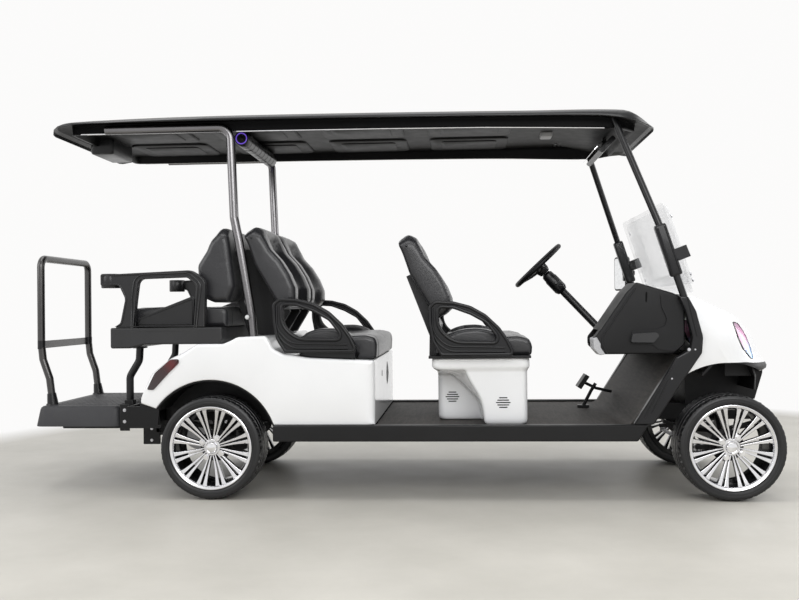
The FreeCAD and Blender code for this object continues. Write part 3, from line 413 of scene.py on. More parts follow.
def sideSpots(rows):
    # places on both sides of the cart, with the direction outward
    return [(at(x, side * y, z), Vector((0, side, 0))) for side in (1, -1) for x, y, z in rows]


def bolts(name, spots, radius, height):
    # a washer and a six-sided head at each (place, direction)
    mesh = bmesh.new()
    for spot, direction in spots:
        direction = direction.normalized()
        addCylinder(mesh, spot, spot + direction * height * 0.35, radius * 1.5, 20)
        addCylinder(mesh, spot, spot + direction * height, radius, 6, radius * 0.9)
    makeObject(name, mesh, zinc, "bare_steel", [], 30)


# Finishes

def feed(tree, node, inputs):
    # an input given as a socket is linked, any other is set
    for key, value in inputs.items():
        if isinstance(value, bpy.types.NodeSocket):
            tree.links.new(value, node.inputs[key])
        else:
            node.inputs[key].default_value = value
    return node


def addNode(tree, kind, inputs, operation=None):
    node = tree.nodes.new(kind)
    if operation:
        node.operation = operation
    return feed(tree, node, inputs)


def startMaterial(name, colour, roughness, metallic=0.0, coat=0.0, specular=0.5):
    material = bpy.data.materials.new(name)
    material.use_nodes = True
    tree = material.node_tree
    shader = feed(tree, tree.nodes["Principled BSDF"], {
        "Base Color": (*colour, 1), "Roughness": roughness, "Metallic": metallic, "Coat Weight": coat,
        "Coat Roughness": 0.08, "Specular IOR Level": specular})
    return material, tree, shader


def place(tree, scale=(1, 1, 1)):
    # positions in metres, stretched by scale
    coordinates = tree.nodes.new("ShaderNodeTexCoord").outputs["Object"]
    return addNode(tree, "ShaderNodeMapping", {"Scale": scale, "Vector": coordinates}).outputs[0]


def noise(tree, where, scale, detail=3.0, roughness=0.5):
    return addNode(tree, "ShaderNodeTexNoise", {"Vector": where, "Scale": scale, "Detail": detail,
                                                "Roughness": roughness}).outputs["Fac"]


def ramp(tree, value, colours, places=(0.3, 0.7)):
    node = addNode(tree, "ShaderNodeValToRGB", {"Fac": value})
    elements = node.color_ramp.elements
    while len(elements) < len(colours):
        elements.new(0.5)
    for i, (where, colour) in enumerate(zip(places, colours)):
        elements[i].position = where
        elements[i].color = (*colour, 1)
    return node.outputs["Color"]


def mapRange(tree, value, low, high, fromLow=0.0, fromHigh=1.0):
    return addNode(tree, "ShaderNodeMapRange", {"Value": value, "From Min": fromLow, "From Max": fromHigh,
                                                "To Min": low, "To Max": high}).outputs["Result"]


def bump(tree, heights):
    # heights are (value, distance in metres); they are stacked one on the other
    below = {}
    for value, distance in heights:
        inputs = {"Strength": 1.0, "Distance": distance, "Height": value, **below}
        below = {"Normal": addNode(tree, "ShaderNodeBump", inputs).outputs["Normal"]}
    return below["Normal"]


def dyed(colour, share):
    return [min(1.0, c * share) for c in colour]


def mouldedFinish(name, colour, roughness, grain=900.0, depth=0.0001, coat=0.0, spread=0.25, metallic=0.0,
                  specular=0.5):
    # moulded or painted surface: slight shade changes, fine grain and uneven gloss
    material, tree, shader = startMaterial(name, colour, roughness, metallic, coat, specular)
    where = place(tree)
    broad = noise(tree, where, 3.0, 4.0, 0.6)
    smears = noise(tree, where, 14.0, 5.0, 0.65)
    feed(tree, shader, {
        "Base Color": ramp(tree, broad, (dyed(colour, 1 - spread), dyed(colour, 1 + spread))),
        "Roughness": mapRange(tree, smears, roughness * 0.8, roughness * 1.25),
        "Normal": bump(tree, [(noise(tree, where, grain, 2.0), depth), (broad, depth * 2)])})
    return material


def vinylFinish(name, colour, roughness):
    # upholstery vinyl: pebbled grain, soft wrinkles and a worn sheen
    material, tree, shader = startMaterial(name, colour, roughness, 0.0, 0.10, 0.5)
    where = place(tree)
    pebble = addNode(tree, "ShaderNodeTexVoronoi", {"Vector": where})
    pebble.feature = "DISTANCE_TO_EDGE"
    pebble.inputs["Scale"].default_value = 420.0
    wrinkles = noise(tree, place(tree, (1.0, 0.45, 1.6)), 26.0, 4.0, 0.55)
    fine = noise(tree, where, 1500.0, 2.0)
    feed(tree, shader, {
        "Base Color": ramp(tree, noise(tree, where, 5.0, 3.0), (dyed(colour, 0.8), dyed(colour, 1.25))),
        "Roughness": mapRange(tree, wrinkles, roughness * 0.82, roughness * 1.2),
        "Sheen Weight": 0.08,
        "Normal": bump(tree, [(pebble.outputs["Distance"], 0.0004), (fine, 0.00003), (wrinkles, 0.0010)])})
    return material


def matFinish(name, dark, light, roughness):
    # rubber floor mat: streaks across the floor and a stippled surface
    material, tree, shader = startMaterial(name, dark, roughness, 0.0, 0.0, 0.2)
    streaks = noise(tree, place(tree, (14.0, 1.4, 14.0)), 6.0, 6.0, 0.65)
    blotches = noise(tree, place(tree), 9.0, 3.0)
    mix = addNode(tree, "ShaderNodeMath", {0: blotches, 1: 0.35, 2: streaks}, "MULTIPLY_ADD")
    stipple = noise(tree, place(tree), 700.0, 2.0)
    feed(tree, shader, {"Base Color": ramp(tree, mix.outputs[0], (dark, light), (0.45, 0.95)),
                        "Normal": bump(tree, [(stipple, 0.00015), (streaks, 0.0003)])})
    return material


def brushedFinish(name, colour, roughness, direction, depth=0.00002):
    # metal with fine tool marks along one direction
    material, tree, shader = startMaterial(name, colour, roughness, 1.0)
    marks = noise(tree, place(tree, direction), 60.0, 4.0, 0.6)
    feed(tree, shader, {"Base Color": ramp(tree, marks, (dyed(colour, 0.85), colour)),
                        "Roughness": mapRange(tree, marks, roughness * 0.7, roughness * 1.3),
                        "Normal": bump(tree, [(marks, depth)])})
    return material


def clearFinish(name, tint, alpha, roughness=0.02):
    # thin clear sheet: mostly see-through, with a glossy surface
    material, tree, shader = startMaterial(name, tint, roughness, 0.0, 0.0, 0.6)
    haze = noise(tree, place(tree), 7.0, 4.0)
    feed(tree, shader, {"Alpha": mapRange(tree, haze, alpha * 0.8, alpha * 1.25),
                        "Normal": bump(tree, [(haze, 0.0003)])})
    return material


def gradientFinish(name, colours, spotA, spotB, roughness, coat=1.0):
    # lens whose colour runs from spotA to spotB through the given colours
    material, tree, shader = startMaterial(name, colours[0], roughness, 0.0, coat)
    where = place(tree)
    run = spotB - spotA
    reach = addNode(tree, "ShaderNodeVectorMath", {0: where, 1: run / run.length_squared}, "DOT_PRODUCT")
    start = spotA.dot(run) / run.length_squared
    position = mapRange(tree, reach.outputs["Value"], 0.0, 1.0, start, start + 1.0)
    places = [i / (len(colours) - 1) for i in range(len(colours))]
    feed(tree, shader, {"Base Color": ramp(tree, position, colours, places),
                        "Normal": bump(tree, [(noise(tree, where, 160.0, 1.0), 0.0006)])})
    return material


bodyWhite = mouldedFinish("body white", (0.87, 0.87, 0.87), 0.20, 260.0, 0.00003, 0.7, 0.015)
satinBlack = mouldedFinish("satin black moulding", (0.006, 0.006, 0.007), 0.32, 1100.0, 0.00006, 0.10,
                           specular=0.3)
grainBlack = mouldedFinish("grained black moulding", (0.006, 0.006, 0.0065), 0.46, 700.0, 0.00010,
                           specular=0.25)
roofBlack = mouldedFinish("canopy black", (0.007, 0.007, 0.008), 0.34, 600.0, 0.00008, 0.10, specular=0.3)
# the canopy's underside takes a darker copy of the canopy black: painted shade on the ceiling
ceilingShadeBlack = mouldedFinish("canopy underside painted shade", (0.004, 0.004, 0.0045), 0.45, 600.0, 0.00005,
                             specular=0.15)
frameBlack = mouldedFinish("chassis paint", (0.006, 0.006, 0.0065), 0.42, 500.0, 0.00006, 0.05,
                           specular=0.25)
trayBlack = mouldedFinish("tray black", (0.024, 0.024, 0.025), 0.38, 800.0, 0.00012, 0.05, specular=0.35)
armBlack = mouldedFinish("arm moulding", (0.015, 0.015, 0.016), 0.34, 900.0, 0.00008, 0.05, specular=0.35)
tubeSheen = mouldedFinish("tube lacquer", (0.065, 0.063, 0.062), 0.30, 300.0, 0.00003, 0.4, 0.15, 0.9)
strutSheen = mouldedFinish("strut lacquer", (0.17, 0.165, 0.17), 0.25, 300.0, 0.00002, 0.4, 0.10, 1.0)
vinylBlack = vinylFinish("seat vinyl", (0.014, 0.014, 0.016), 0.30)
vinylSeam = vinylFinish("seam piping", (0.012, 0.012, 0.013), 0.36)
tyreRubber = mouldedFinish("tyre rubber", (0.010, 0.010, 0.011), 0.42, 500.0, 0.00012, 0.12,
                           0.3, specular=0.4)
floorMat = matFinish("floor mat", (0.010, 0.009, 0.008), (0.060, 0.052, 0.045), 0.60)
stepPlastic = mouldedFinish("step moulding", (0.040, 0.040, 0.043), 0.5, 500.0, 0.0002,
                            spread=0.2, specular=0.35)
machined = brushedFinish("machined alloy", (0.80, 0.80, 0.82), 0.2, (9.0, 1.0, 9.0))
rimBlack = mouldedFinish("gloss black alloy", (0.008, 0.008, 0.009), 0.2, 300.0, 0.00003, 0.4, specular=0.4)
chrome = brushedFinish("chrome", (0.86, 0.86, 0.88), 0.08, (1.0, 1.0, 1.0), 0.000005)
zinc = brushedFinish("zinc bolts", (0.55, 0.55, 0.57), 0.32, (3.0, 3.0, 3.0))
castIron = mouldedFinish("cast iron", (0.05, 0.05, 0.052), 0.6, 300.0, 0.0004, 0.0, 0.3, 0.6)
motorAlloy = mouldedFinish("motor alloy", (0.32, 0.32, 0.33), 0.45, 300.0, 0.0002, 0.0, 0.2, 0.9)
batteryCase = mouldedFinish("battery case", (0.03, 0.03, 0.034), 0.5, 600.0, 0.0002)
clearSheet = clearFinish("clear sheet", (0.93, 0.94, 0.96), 0.16)
mirrorGlass = brushedFinish("mirror glass", (0.90, 0.91, 0.92), 0.06, (1.0, 1.0, 1.0), 0.00001)
greyPlastic = mouldedFinish("grey moulding", (0.42, 0.42, 0.43), 0.4, 600.0, 0.0001)
knobWhite = mouldedFinish("white knob", (0.78, 0.78, 0.77), 0.35, 600.0, 0.00005)
# flat near-black for slot openings: painted shade standing in for the dark inside of each opening
shadeHoleBlack = mouldedFinish("painted shade recess", (0.004, 0.004, 0.004), 0.8, 300.0, 0.0001, specular=0.1)
print("finishes ready")


# Wheels

wheel = {
    "shoulder": 0.091, "crownDrop": 0.0045, "treadSteps": 240, "blockEvery": 5, "sipeEvery": 4,
    "sipeFrom": 0.024, "sipeShare": 0.35, "grooves": [-0.058, -0.021, 0.021, 0.058],
    "grooveHalf": 0.0035, "grooveDepth": 0.0045,
    # the tyre's wall, as (how far inside the widest place, radius)
    "wall": [(0.0145, 0.185), (0.0142, 0.195), (0.009, 0.1975), (0.0035, 0.2015), (0.0012, 0.206),
             (0.0022, 0.2075), (0.0005, 0.2095), (0.0002, 0.216), (0.0014, 0.2175), (0.0008, 0.219),
             (0.0015, 0.226), (0.0048, 0.2325), (0.0068, 0.2352)],
    # the rest are (place along the axle, radius); the barrel has the bright lip at its outer end
    "barrel": [(-0.095, 0.171), (-0.095, 0.195), (-0.0875, 0.196), (-0.0865, 0.184), (0.0865, 0.184),
               (0.0875, 0.196), (0.094, 0.1952), (0.0955, 0.192), (0.092, 0.183), (0.084, 0.177),
               (0.070, 0.171)],
    "hub": [(-0.005, 0.016), (-0.005, 0.058), (0.034, 0.058), (0.042, 0.048), (0.0605, 0.047),
            (0.0605, 0.016)],
    "boss": [(0.0525, 0.0), (0.066, 0.039), (0.0685, 0.036), (0.0685, 0.029), (0.066, 0.0275), (0.066, 0.0)],
    "cap": [(0.062, 0.0265), (0.0745, 0.0265), (0.0765, 0.0250), (0.0755, 0.0225), (0.0770, 0.021),
            (0.0790, 0.012), (0.0795, 0.0)],
    "brightFrom": (0.086, 0.18),
    # blade rows are distance from the axle, inner edge, outer edge and the face's place along the axle
    "blade": [(0.030, 0.0018, 0.0072, 0.064), (0.060, 0.0026, 0.0096, 0.066), (0.100, 0.0038, 0.0132, 0.071),
              (0.130, 0.0048, 0.0170, 0.077), (0.150, 0.0054, 0.0202, 0.081), (0.165, 0.0058, 0.0232, 0.0845),
              (0.176, 0.0060, 0.0260, 0.0865), (0.184, 0.0060, 0.0285, 0.0872)],
    "spokePairs": 12, "bladeDeep": 0.026, "bladeEdge": 0.0012,
    # nut rows are start and end along the axle, radius and number of sides
    "nut": [(0.058, 0.072, 0.0140, 24), (0.064, 0.086, 0.0105, 6)], "lugs": 4, "lugRadius": 0.052,
    "lugTurn": 0.26, "valve": (0.13, 0.163, 0.060, 0.086, 0.0035),
}


def tyreMesh(centre, out):
    half = tyreWidth / 2
    tread = [-wheel["shoulder"]]
    for groove in wheel["grooves"]:
        tread += [groove + offset * wheel["grooveHalf"] for offset in (-1.3, -0.7, 0.7, 1.3)]
    tread.append(wheel["shoulder"])
    wall = [(half - w, r) for w, r in wheel["wall"]]
    # a row without a radius is part of the tread
    profile = wall + [(w, None) for w in reversed(tread)] + [(-w, r) for w, r in reversed(wall)]
    mesh = bmesh.new()
    rings = []
    for i in range(wheel["treadSteps"]):
        direction = radialAt(2 * math.pi * i / wheel["treadSteps"])
        ring = []
        for w, r in profile:
            if r is None:
                inGroove = any(abs(w - g) < wheel["grooveHalf"] for g in wheel["grooves"])
                block = i % wheel["blockEvery"] == 0 and abs(w) > wheel["grooves"][-1]
                sipe = (i + (2 if w > 0 else 0)) % wheel["sipeEvery"] == 0 and abs(w) > wheel["sipeFrom"]
                share = 1.0 if inGroove or block else wheel["sipeShare"] if sipe else 0.0
                crown = tyreRadius - wheel["crownDrop"] * (w / wheel["shoulder"]) ** 2
                r = crown - wheel["grooveDepth"] * share
            ring.append(mesh.verts.new(centre + Vector((0, out * w, 0)) + direction * r))
        rings.append(ring)
    skin(mesh, rings + rings[:1], False)
    return mesh


def rimMesh(centre, out):
    mesh = bmesh.new()
    axis = Vector((0, out, 0))
    revolve(mesh, wheel["barrel"], centre, axis, 120)
    outFrom, farFrom = wheel["brightFrom"]
    for face in mesh.faces:
        middle = face.calc_center_median() - centre
        face.material_index = 1 if middle.y * out > outFrom and middle.length > farFrom else 0
    # blades: pairs that flare at the lip
    deep, edge = wheel["bladeDeep"], wheel["bladeEdge"]
    for i in range(wheel["spokePairs"]):
        turn = 2 * math.pi * (i + 0.5) / wheel["spokePairs"]
        across = Vector((-math.sin(turn), 0, math.cos(turn)))
        for side in (-1, 1):
            sections = []
            for r, inner, outer, w in wheel["blade"]:
                spots = [(inner, w - deep), (inner, w - edge), (inner + edge, w), (outer - edge, w),
                         (outer, w - edge), (outer, w - deep)]
                sections.append([mesh.verts.new(centre + radialAt(turn) * r + across * (b * side) + axis * z)
                                 for b, z in spots])
            skin(mesh, sections, finish=lambda i, j: 1 if j in (1, 2, 3) else 0)
    # hub behind the blades, centre boss, cap, wheel nuts and valve stem
    revolve(mesh, wheel["hub"], centre, axis, 64)
    revolve(mesh, wheel["boss"], centre, axis, 64, False, 1)
    revolve(mesh, wheel["cap"], centre, axis, 48, False, 2)
    for i in range(wheel["lugs"]):
        turn = 2 * math.pi * (i + 0.5) / wheel["lugs"] + wheel["lugTurn"]
        spot = centre + radialAt(turn) * wheel["lugRadius"]
        for start, end, radius, sides in wheel["nut"]:
            addCylinder(mesh, spot + axis * start, spot + axis * end, radius, sides, material=2)
    turn, distance, start, end, radius = wheel["valve"]
    spot = centre + radialAt(turn) * distance
    addCylinder(mesh, spot + axis * start, spot + axis * end, radius, 12)
    return mesh


wheelPlaces = {"rear_left": (0, 1), "rear_right": (0, -1), "front_left": (wheelbase, 1),
               "front_right": (wheelbase, -1)}
for name, (x, side) in wheelPlaces.items():
    centre = at(x, side * wheelY, tyreRadius)
    makeObject("tread_tyre_" + name, tyreMesh(centre, side), tyreRubber, "tyre_rubber", ["tyre_" + name], 28,
               "wheel_" + name)
    makeObject("alloy_rim_" + name, rimMesh(centre, side), [rimBlack, machined, chrome], "rim_alloy",
               ["rim_" + name], 30, "wheel_" + name)
print("wheels ready")


# Seats: each bench has two bucket backs and a cushion with side bolsters

seat = {
    "halfWidth": 0.5, "gap": 0.006, "edgeRound": 0.030, "sideWing": 0.095, "wingBlend": 0.075,
    "seam": 0.004, "bucketDepth": 0.060, "topDrop": 0.028, "dropReach": 0.11, "frontBlend": 0.06,
    # paddings of the back, and seams of the cushion, as (depth, place, spread)
    "lumbar": (0.020, 0.28, 0.14), "head": (0.022, 0.84, 0.12),
    "middleSeam": (0.006, 0, 0.006), "sideSeam": (0.005, 0.105, 0.006),
    "cushionRound": 0.022, "crown": 0.006, "bolster": 0.115, "bolsterBlend": 0.03, "dip": 0.010,
    "sag": 0.0012,
}
backOutline = [(-0.101, 0.386, 0.06), (-0.156, 0.549, 0.012), (-0.107, 0.581, 0.025), (-0.067, 0.560, 0.015),
               (-0.047, 0.515, 0.040), (-0.027, 0.466, 0.040), (0.025, 0.409, 0.040), (0.065, 0.344, 0.040),
               (0.092, 0.278, 0.030), (0.092, 0.222, 0.020), (0.059, 0.190, 0.012), (0.025, 0.172, 0.010)]


def bucketBack(name, originX, originZ, facing, rows, node):
    # rows is the side outline of the wings; the face between the wings is set back
    wing = resample(outline(rows, 5), 72)
    lowZ, highZ = min(z for x, z in wing), max(z for x, z in wing)
    (footX, footZ), (headX, headZ) = rows[0][:2], rows[1][:2]
    mesh = bmesh.new()
    seams = []
    for y0, y1 in ((-seat["halfWidth"], -seat["gap"]), (seat["gap"], seat["halfWidth"])):
        width = y1 - y0

        def shapeAt(share):
            distance = min(share, 1 - share) * width
            weight = rise(distance, seat["sideWing"], seat["wingBlend"])
            groove = bell(distance, seat["seam"], seat["sideWing"], seat["seam"])
            topDrop = seat["topDrop"] * smooth(1 - distance / seat["dropReach"]) ** 2
            shape = []
            for x, z in wing:
                up = (z - lowZ) / (highZ - lowZ)
                # how far the point is in front of the line through the back of the seat
                front = max(0.0, (x - footX - (headX - footX) * (z - footZ) / (headZ - footZ)) * facing)
                depth = seat["bucketDepth"] * smooth(up / 0.14) * smooth((1 - up) / 0.18)
                depth -= bell(up, *seat["lumbar"]) + bell(up, *seat["head"])
                moved = x - facing * (depth * weight + groove) * min(1.0, front / seat["frontBlend"])
                shape.append((originX + moved, originZ + z - topDrop * rise(up, 0.72, 0.28)))
            return shape

        loft(mesh, shapeAt, y0, y1, [seat["edgeRound"]] * len(wing), 6, 40)
        for place in (seat["sideWing"] / width, 1 - seat["sideWing"] / width):
            seams.append(onPlane(insetOutline(shapeAt(place), 0.0022), y0 + place * width))
    cushion = makeObject(name, mesh, vinylBlack, "seat_vinyl", [node], 60)
    tubes(name + "_piping", seams, 0.0024, vinylSeam, closed=True, sides=2, slot="seat_vinyl", angle=60)


frontSeatX, frontSeatZ = 1.040, 0.664
middleBackX, middleBackZ = 0.300, 0.714
bucketBack("front_back_pads", frontSeatX, frontSeatZ, 1, backOutline, "front_seat_back")
bucketBack("middle_back_pads", middleBackX, middleBackZ, 1, backOutline, "middle_seat_back")
bucketBack("rear_back_pads", 0.0, 0.0, -1, [
    (0.100, 1.000, 0.03), (0.068, 1.280, 0.012), (0.028, 1.292, 0.025), (-0.013, 1.236, 0.040),
    (-0.036, 1.175, 0.040), (-0.081, 1.106, 0.040), (-0.077, 1.010, 0.040), (-0.064, 0.953, 0.020),
    (-0.002, 0.926, 0.020), (0.070, 0.930, 0.008)], "rear_seat_back")

cushionOutline = [(0.0, 0.0, 0.008), (0.0, 0.064, 0.018), (0.060, 0.086, 0.030), (0.175, 0.083, 0.060),
                  (0.392, 0.090, 0.024), (0.446, 0.076, 0.024), (0.458, 0.041, 0.020), (0.455, 0.0, 0.010)]


def benchCushion(name, originX, originZ, rows, node, domeFrom, domeTo, domeHigh):
    # cushion with a crown on each place and a padded bolster at each side
    side = resample(outline(rows, 5), 84)
    highZ = max(z for x, z in side)
    halfWidth = seat["halfWidth"]

    def shapeAt(share):
        y = (share - 0.5) * 2 * halfWidth
        fromSide = halfWidth - abs(y)
        fromMiddle = min(1.0, abs(abs(y) - halfWidth / 2) / (halfWidth / 2))
        crown = seat["crown"] * math.cos(fromMiddle * math.pi / 2) ** 2
        seam = bell(y, *seat["middleSeam"]) + bell(fromSide, *seat["sideSeam"])
        bolster = smooth((seat["bolster"] - fromSide) / seat["bolsterBlend"])
        shape = []
        for x, z in side:
            top = rise(z, highZ * 0.45, highZ * 0.4)
            arc = math.sin(math.pi * max(0.0, min(1.0, (x - domeFrom) / (domeTo - domeFrom))))
            dome = domeHigh * arc ** 0.7 * bolster
            dip = seat["dip"] * (1 - bolster) * (1 - rise(x, domeTo, 0.03)) * arc
            sag = seat["sag"] * math.sin(18 * y + 9 * x) * (1 - bolster) * top
            shape.append((originX + x, originZ + z + (crown - seam + dome - dip + sag) * top))
        return shape

    mesh = bmesh.new()
    loft(mesh, shapeAt, -halfWidth, halfWidth, [seat["cushionRound"]] * len(side), 6, 72)
    cushion = makeObject(name, mesh, vinylBlack, "seat_vinyl", [node], 60)
    # piping round the side panels and the seams inside the bolsters
    routes = []
    for share, inset in ((0.010, seat["cushionRound"] * 0.42), (0.105, 0.001), (0.895, 0.001),
                         (0.990, seat["cushionRound"] * 0.42)):
        routes.append(onPlane(insetOutline(shapeAt(share), inset), (share - 0.5) * 2 * halfWidth))
    tubes(name + "_piping", routes, 0.0021, vinylSeam, closed=True, sides=2, slot="seat_vinyl", angle=60)


middleCushion = [(0.0, 0.0, 0.008), (0.0, 0.060, 0.018), (0.060, 0.080, 0.030), (0.160, 0.075, 0.060),
                 (0.350, 0.080, 0.024), (0.394, 0.068, 0.024), (0.403, 0.036, 0.026), (0.400, -0.032, 0.012),
                 (0.306, -0.030, 0.006), (0.300, 0.0, 0.006)]
rearCushion = [(-0.440, 0.0, 0.010), (0.065, 0.0, 0.010), (0.065, 0.080, 0.025), (0.040, 0.092, 0.020),
               (-0.400, 0.092, 0.040), (-0.445, 0.060, 0.030)]
benchCushion("front_cushion_pad", 1.053, 0.664, cushionOutline, "front_seat_cushion", 0.05, 0.32, 0.044)
benchCushion("middle_cushion_pad", 0.378, 0.684, middleCushion, "middle_seat_cushion", 0.05, 0.28, 0.038)
benchCushion("rear_cushion_pad", 0.0, 0.810, rearCushion, "rear_seat_cushion", -0.36, 0.0, 0.006)
print("seats ready")


# Arm loops: a moulded ring with a raised rim along each edge

armOuter = [(0.018, 0.271, 0.025), (0.105, 0.266, 0.060), (0.184, 0.245, 0.080), (0.254, 0.205, 0.080),
            (0.317, 0.145, 0.080), (0.356, 0.089, 0.040), (0.382, 0.034, 0.020), (0.375, 0.014, 0.010),
            (0.045, 0.014, 0.015), (0.005, 0.080, 0.040), (-0.010, 0.160, 0.040), (-0.012, 0.243, 0.020)]
armHole = [(0.037, 0.238, 0.014), (0.105, 0.234, 0.050), (0.183, 0.205, 0.060), (0.254, 0.165, 0.050),
           (0.300, 0.105, 0.030), (0.305, 0.078, 0.014), (0.105, 0.082, 0.115), (0.034, 0.146, 0.095)]
arm = {"width": 0.040, "rimIn": 0.0085, "rimRadius": 0.0084, "ridgeIn": 0.0065, "ridgeRadius": 0.0050,
       "ridgeBend": 0.090}
# ridges that follow the sweep under the hole
armRidges = [[(0.010, 0.236), (0.008, 0.128), (0.070, 0.058), (0.340, 0.052)],
             [(0.342, 0.034), (0.080, 0.036), (0.024, 0.080), (0.016, 0.110)]]


def armLoops(name, originX, originZ, innerY, node):
    def placed(rows):
        return [(x + originX, z + originZ) for x, z in rows]

    outer = placed(resample(outline(armOuter, 8), 90))
    hole = placed(resample(outline(armHole, 8), 80))
    outerY = innerY + arm["width"]

    def oneLoop(side):
        mesh = bmesh.new()
        addMesh(mesh, plate(outer, side * (innerY + 0.006), side * (outerY - 0.007), [hole]))
        for ring in (insetOutline(outer, 0.007), insetOutline(hole, -0.006)):
            for faceY in (innerY + arm["rimIn"], outerY - arm["rimIn"]):
                addMesh(mesh, tubeMesh(onPlane(ring, side * faceY), arm["rimRadius"], 0, True, 3))
        for ridge in armRidges:
            for faceY in (innerY + arm["ridgeIn"], outerY - arm["ridgeIn"]):
                route = onPlane(placed(ridge), side * faceY)
                addMesh(mesh, tubeMesh(route, arm["ridgeRadius"], arm["ridgeBend"], False, 2))
        return mesh

    makeObject(name, bothSides(oneLoop), satinBlack, "black_gloss", [node], 50)


armLoops("front_arm_rings", 1.040, 0.652, 0.530, "front_armrests")
armLoops("middle_arm_rings", 0.312, 0.672, 0.548, "middle_armrests")
print("arm loops ready")


# Canopy: a thin edge band, an undercut where the struts run, an inner lip and a low ceiling

canopy = {
    "rear": -0.805, "front": 2.107, "halfWidth": 0.549, "corner": 0.125, "lipInset": 0.094,
    "ceiling": 1.7872, "outlinePoints": 200,
    "pads": [(-0.640, -0.470), (-0.090, 0.080), (0.440, 0.610), (0.990, 1.160), (1.400, 1.875)],
    "panels": [(-0.60, -0.18), (-0.06, 0.36), (0.48, 0.90), (1.02, 1.44)],
}


canopyTop = [(-0.805, 1.772), (-0.78, 1.786), (-0.735, 1.801), (-0.5, 1.812), (-0.104, 1.819), (0.6, 1.818),
             (1.5, 1.809), (1.94, 1.802), (2.03, 1.778), (2.085, 1.756), (2.107, 1.745)]
canopyBand = [(-0.805, 1.762), (-0.76, 1.776), (-0.67, 1.787), (0.43, 1.787), (1.37, 1.778), (1.83, 1.768),
              (1.95, 1.752), (2.06, 1.738), (2.107, 1.733)]
canopyLip = [(-0.805, 1.750), (-0.70, 1.750), (0.43, 1.747), (1.37, 1.738), (1.83, 1.724), (2.107, 1.722)]


def canopyMesh():
    c = canopy
    w, r = c["halfWidth"], c["corner"]
    plan = outline([(c["rear"], -w, r), (c["front"] - 0.12, -w, 0.14), (c["front"], -w + 0.16, 0.08),
                    (c["front"], w - 0.16, 0.08), (c["front"] - 0.12, w, 0.14), (c["rear"], w, r)], 12)
    plan = resample(plan, c["outlinePoints"])
    middleX = (c["rear"] + c["front"]) / 2
    mesh = bmesh.new()
    loops = []

    def ring(inset, squeeze, height):
        loop = []
        for x, y in insetOutline(plan, inset):
            x = min(max(x, c["rear"] + inset * 0.6), c["front"] - inset * 0.6)
            x = middleX + (x - middleX) * (0.45 + 0.55 * squeeze)
            loop.append(mesh.verts.new(at(x, y * squeeze, height(x))))
        loops.append(loop)

    top = lambda x: along(canopyTop, x)
    band = lambda x: along(canopyBand, x)
    lip = lambda x: along(canopyLip, x)
    ceiling = lambda x: max(band(x), lip(x) + 0.02) if x > 1.85 else c["ceiling"]
    for squeeze in (0.0, 0.2, 0.4, 0.6, 0.8, 0.93):
        ring(0.060, squeeze, lambda x: top(x) - 0.0005)
    for inset, drop in ((0.060, 0.0006), (0.042, 0.0022), (0.026, 0.0060), (0.013, 0.0115), (0.005, 0.0175)):
        ring(inset, 1.0, lambda x: max(top(x) - drop, band(x) + 0.006))
    ring(0.0, 1.0, lambda x: min(top(x) - 0.0225, band(x) + 0.007))
    for inset, lift in ((0.0005, 0.002), (0.004, 0.0), (0.012, 0.001)):
        ring(inset, 1.0, lambda x: band(x) + lift)
    firstUnder = len(loops)
    low = c["lipInset"]
    for inset, height, lift in ((0.020, band, 0.008), (low - 0.006, band, 0.010), (low - 0.003, lip, 0.010),
                                (low - 0.006, lip, 0.004), (low - 0.002, lip, 0.0), (low + 0.010, lip, 0.0),
                                (low + 0.014, lip, 0.004), (low + 0.022, ceiling, -0.006),
                                (low + 0.030, ceiling, 0.0)):
        ring(inset, 1.0, lambda x: height(x) + lift)
    for squeeze in (0.9, 0.6, 0.3, 0.0):
        ring(low + 0.030, squeeze, ceiling)
    # the underside rows take the darker ceiling copy, painted shade
    skin(mesh, loops, False, finish=lambda i, j: 1 if i >= firstUnder else 0)
    bmesh.ops.remove_doubles(mesh, verts=mesh.verts, dist=0.0004)
    return mesh


makeObject("canopy_shell", canopyMesh(), [roofBlack, ceilingShadeBlack], "roof_plastic", ["roof"], 45)
padMesh = bmesh.new()
for x0, x1 in canopy["pads"]:
    roundedSlab(padMesh, x0, x1, -0.40, 0.40, 1.800, 1.8248, 0.020, 0.006)
for (start, x0), (x1, end) in zip(canopy["pads"], canopy["pads"][1:]):
    roundedSlab(padMesh, x0 + 0.03, x0 + 0.05, -0.38, 0.38, 1.800, 1.8208, 0.008, 0.003)
makeObject("canopy_pads", padMesh, roofBlack, "roof_plastic", [], 45)
# ceiling panels in the darker copy of the canopy black, painted shade
panelMesh = bmesh.new()
for x0, x1 in canopy["panels"]:
    for y0, y1 in ((-0.385, -0.03), (0.03, 0.385)):
        roundedSlab(panelMesh, x0, x1, y0, y1, 1.7900, 1.7790, 0.05, 0.008)
        roundedSlab(panelMesh, x0 + 0.06, x1 - 0.06, y0 + 0.06, y1 - 0.06, 1.7900, 1.7750, 0.03, 0.006)
makeObject("canopy_ceiling_panels", panelMesh, ceilingShadeBlack, "roof_plastic", [], 45)
railY = canopy["halfWidth"] - canopy["lipInset"] + 0.004
routes = [[at(x, side * railY, along(canopyLip, x) + 0.0035) for x in (-0.66, -0.2, 0.3, 0.8, 1.3, 1.6, 1.86)]
          for side in (1, -1)]
tubes("canopy_rail_lines", routes, 0.0048, chrome, sides=2, slot="bare_steel")
screwRows = [(x, 0.4515, along(canopyLip, x) + 0.022) for x in (-0.5, -0.3, 0.2, 0.6, 1.05, 1.5, 1.83)]
bolts("canopy_screws", sideSpots(screwRows), 0.0045, 0.004)
print("canopy ready")


# Rear body: a thin shell with soft edges, open underneath and at the arches

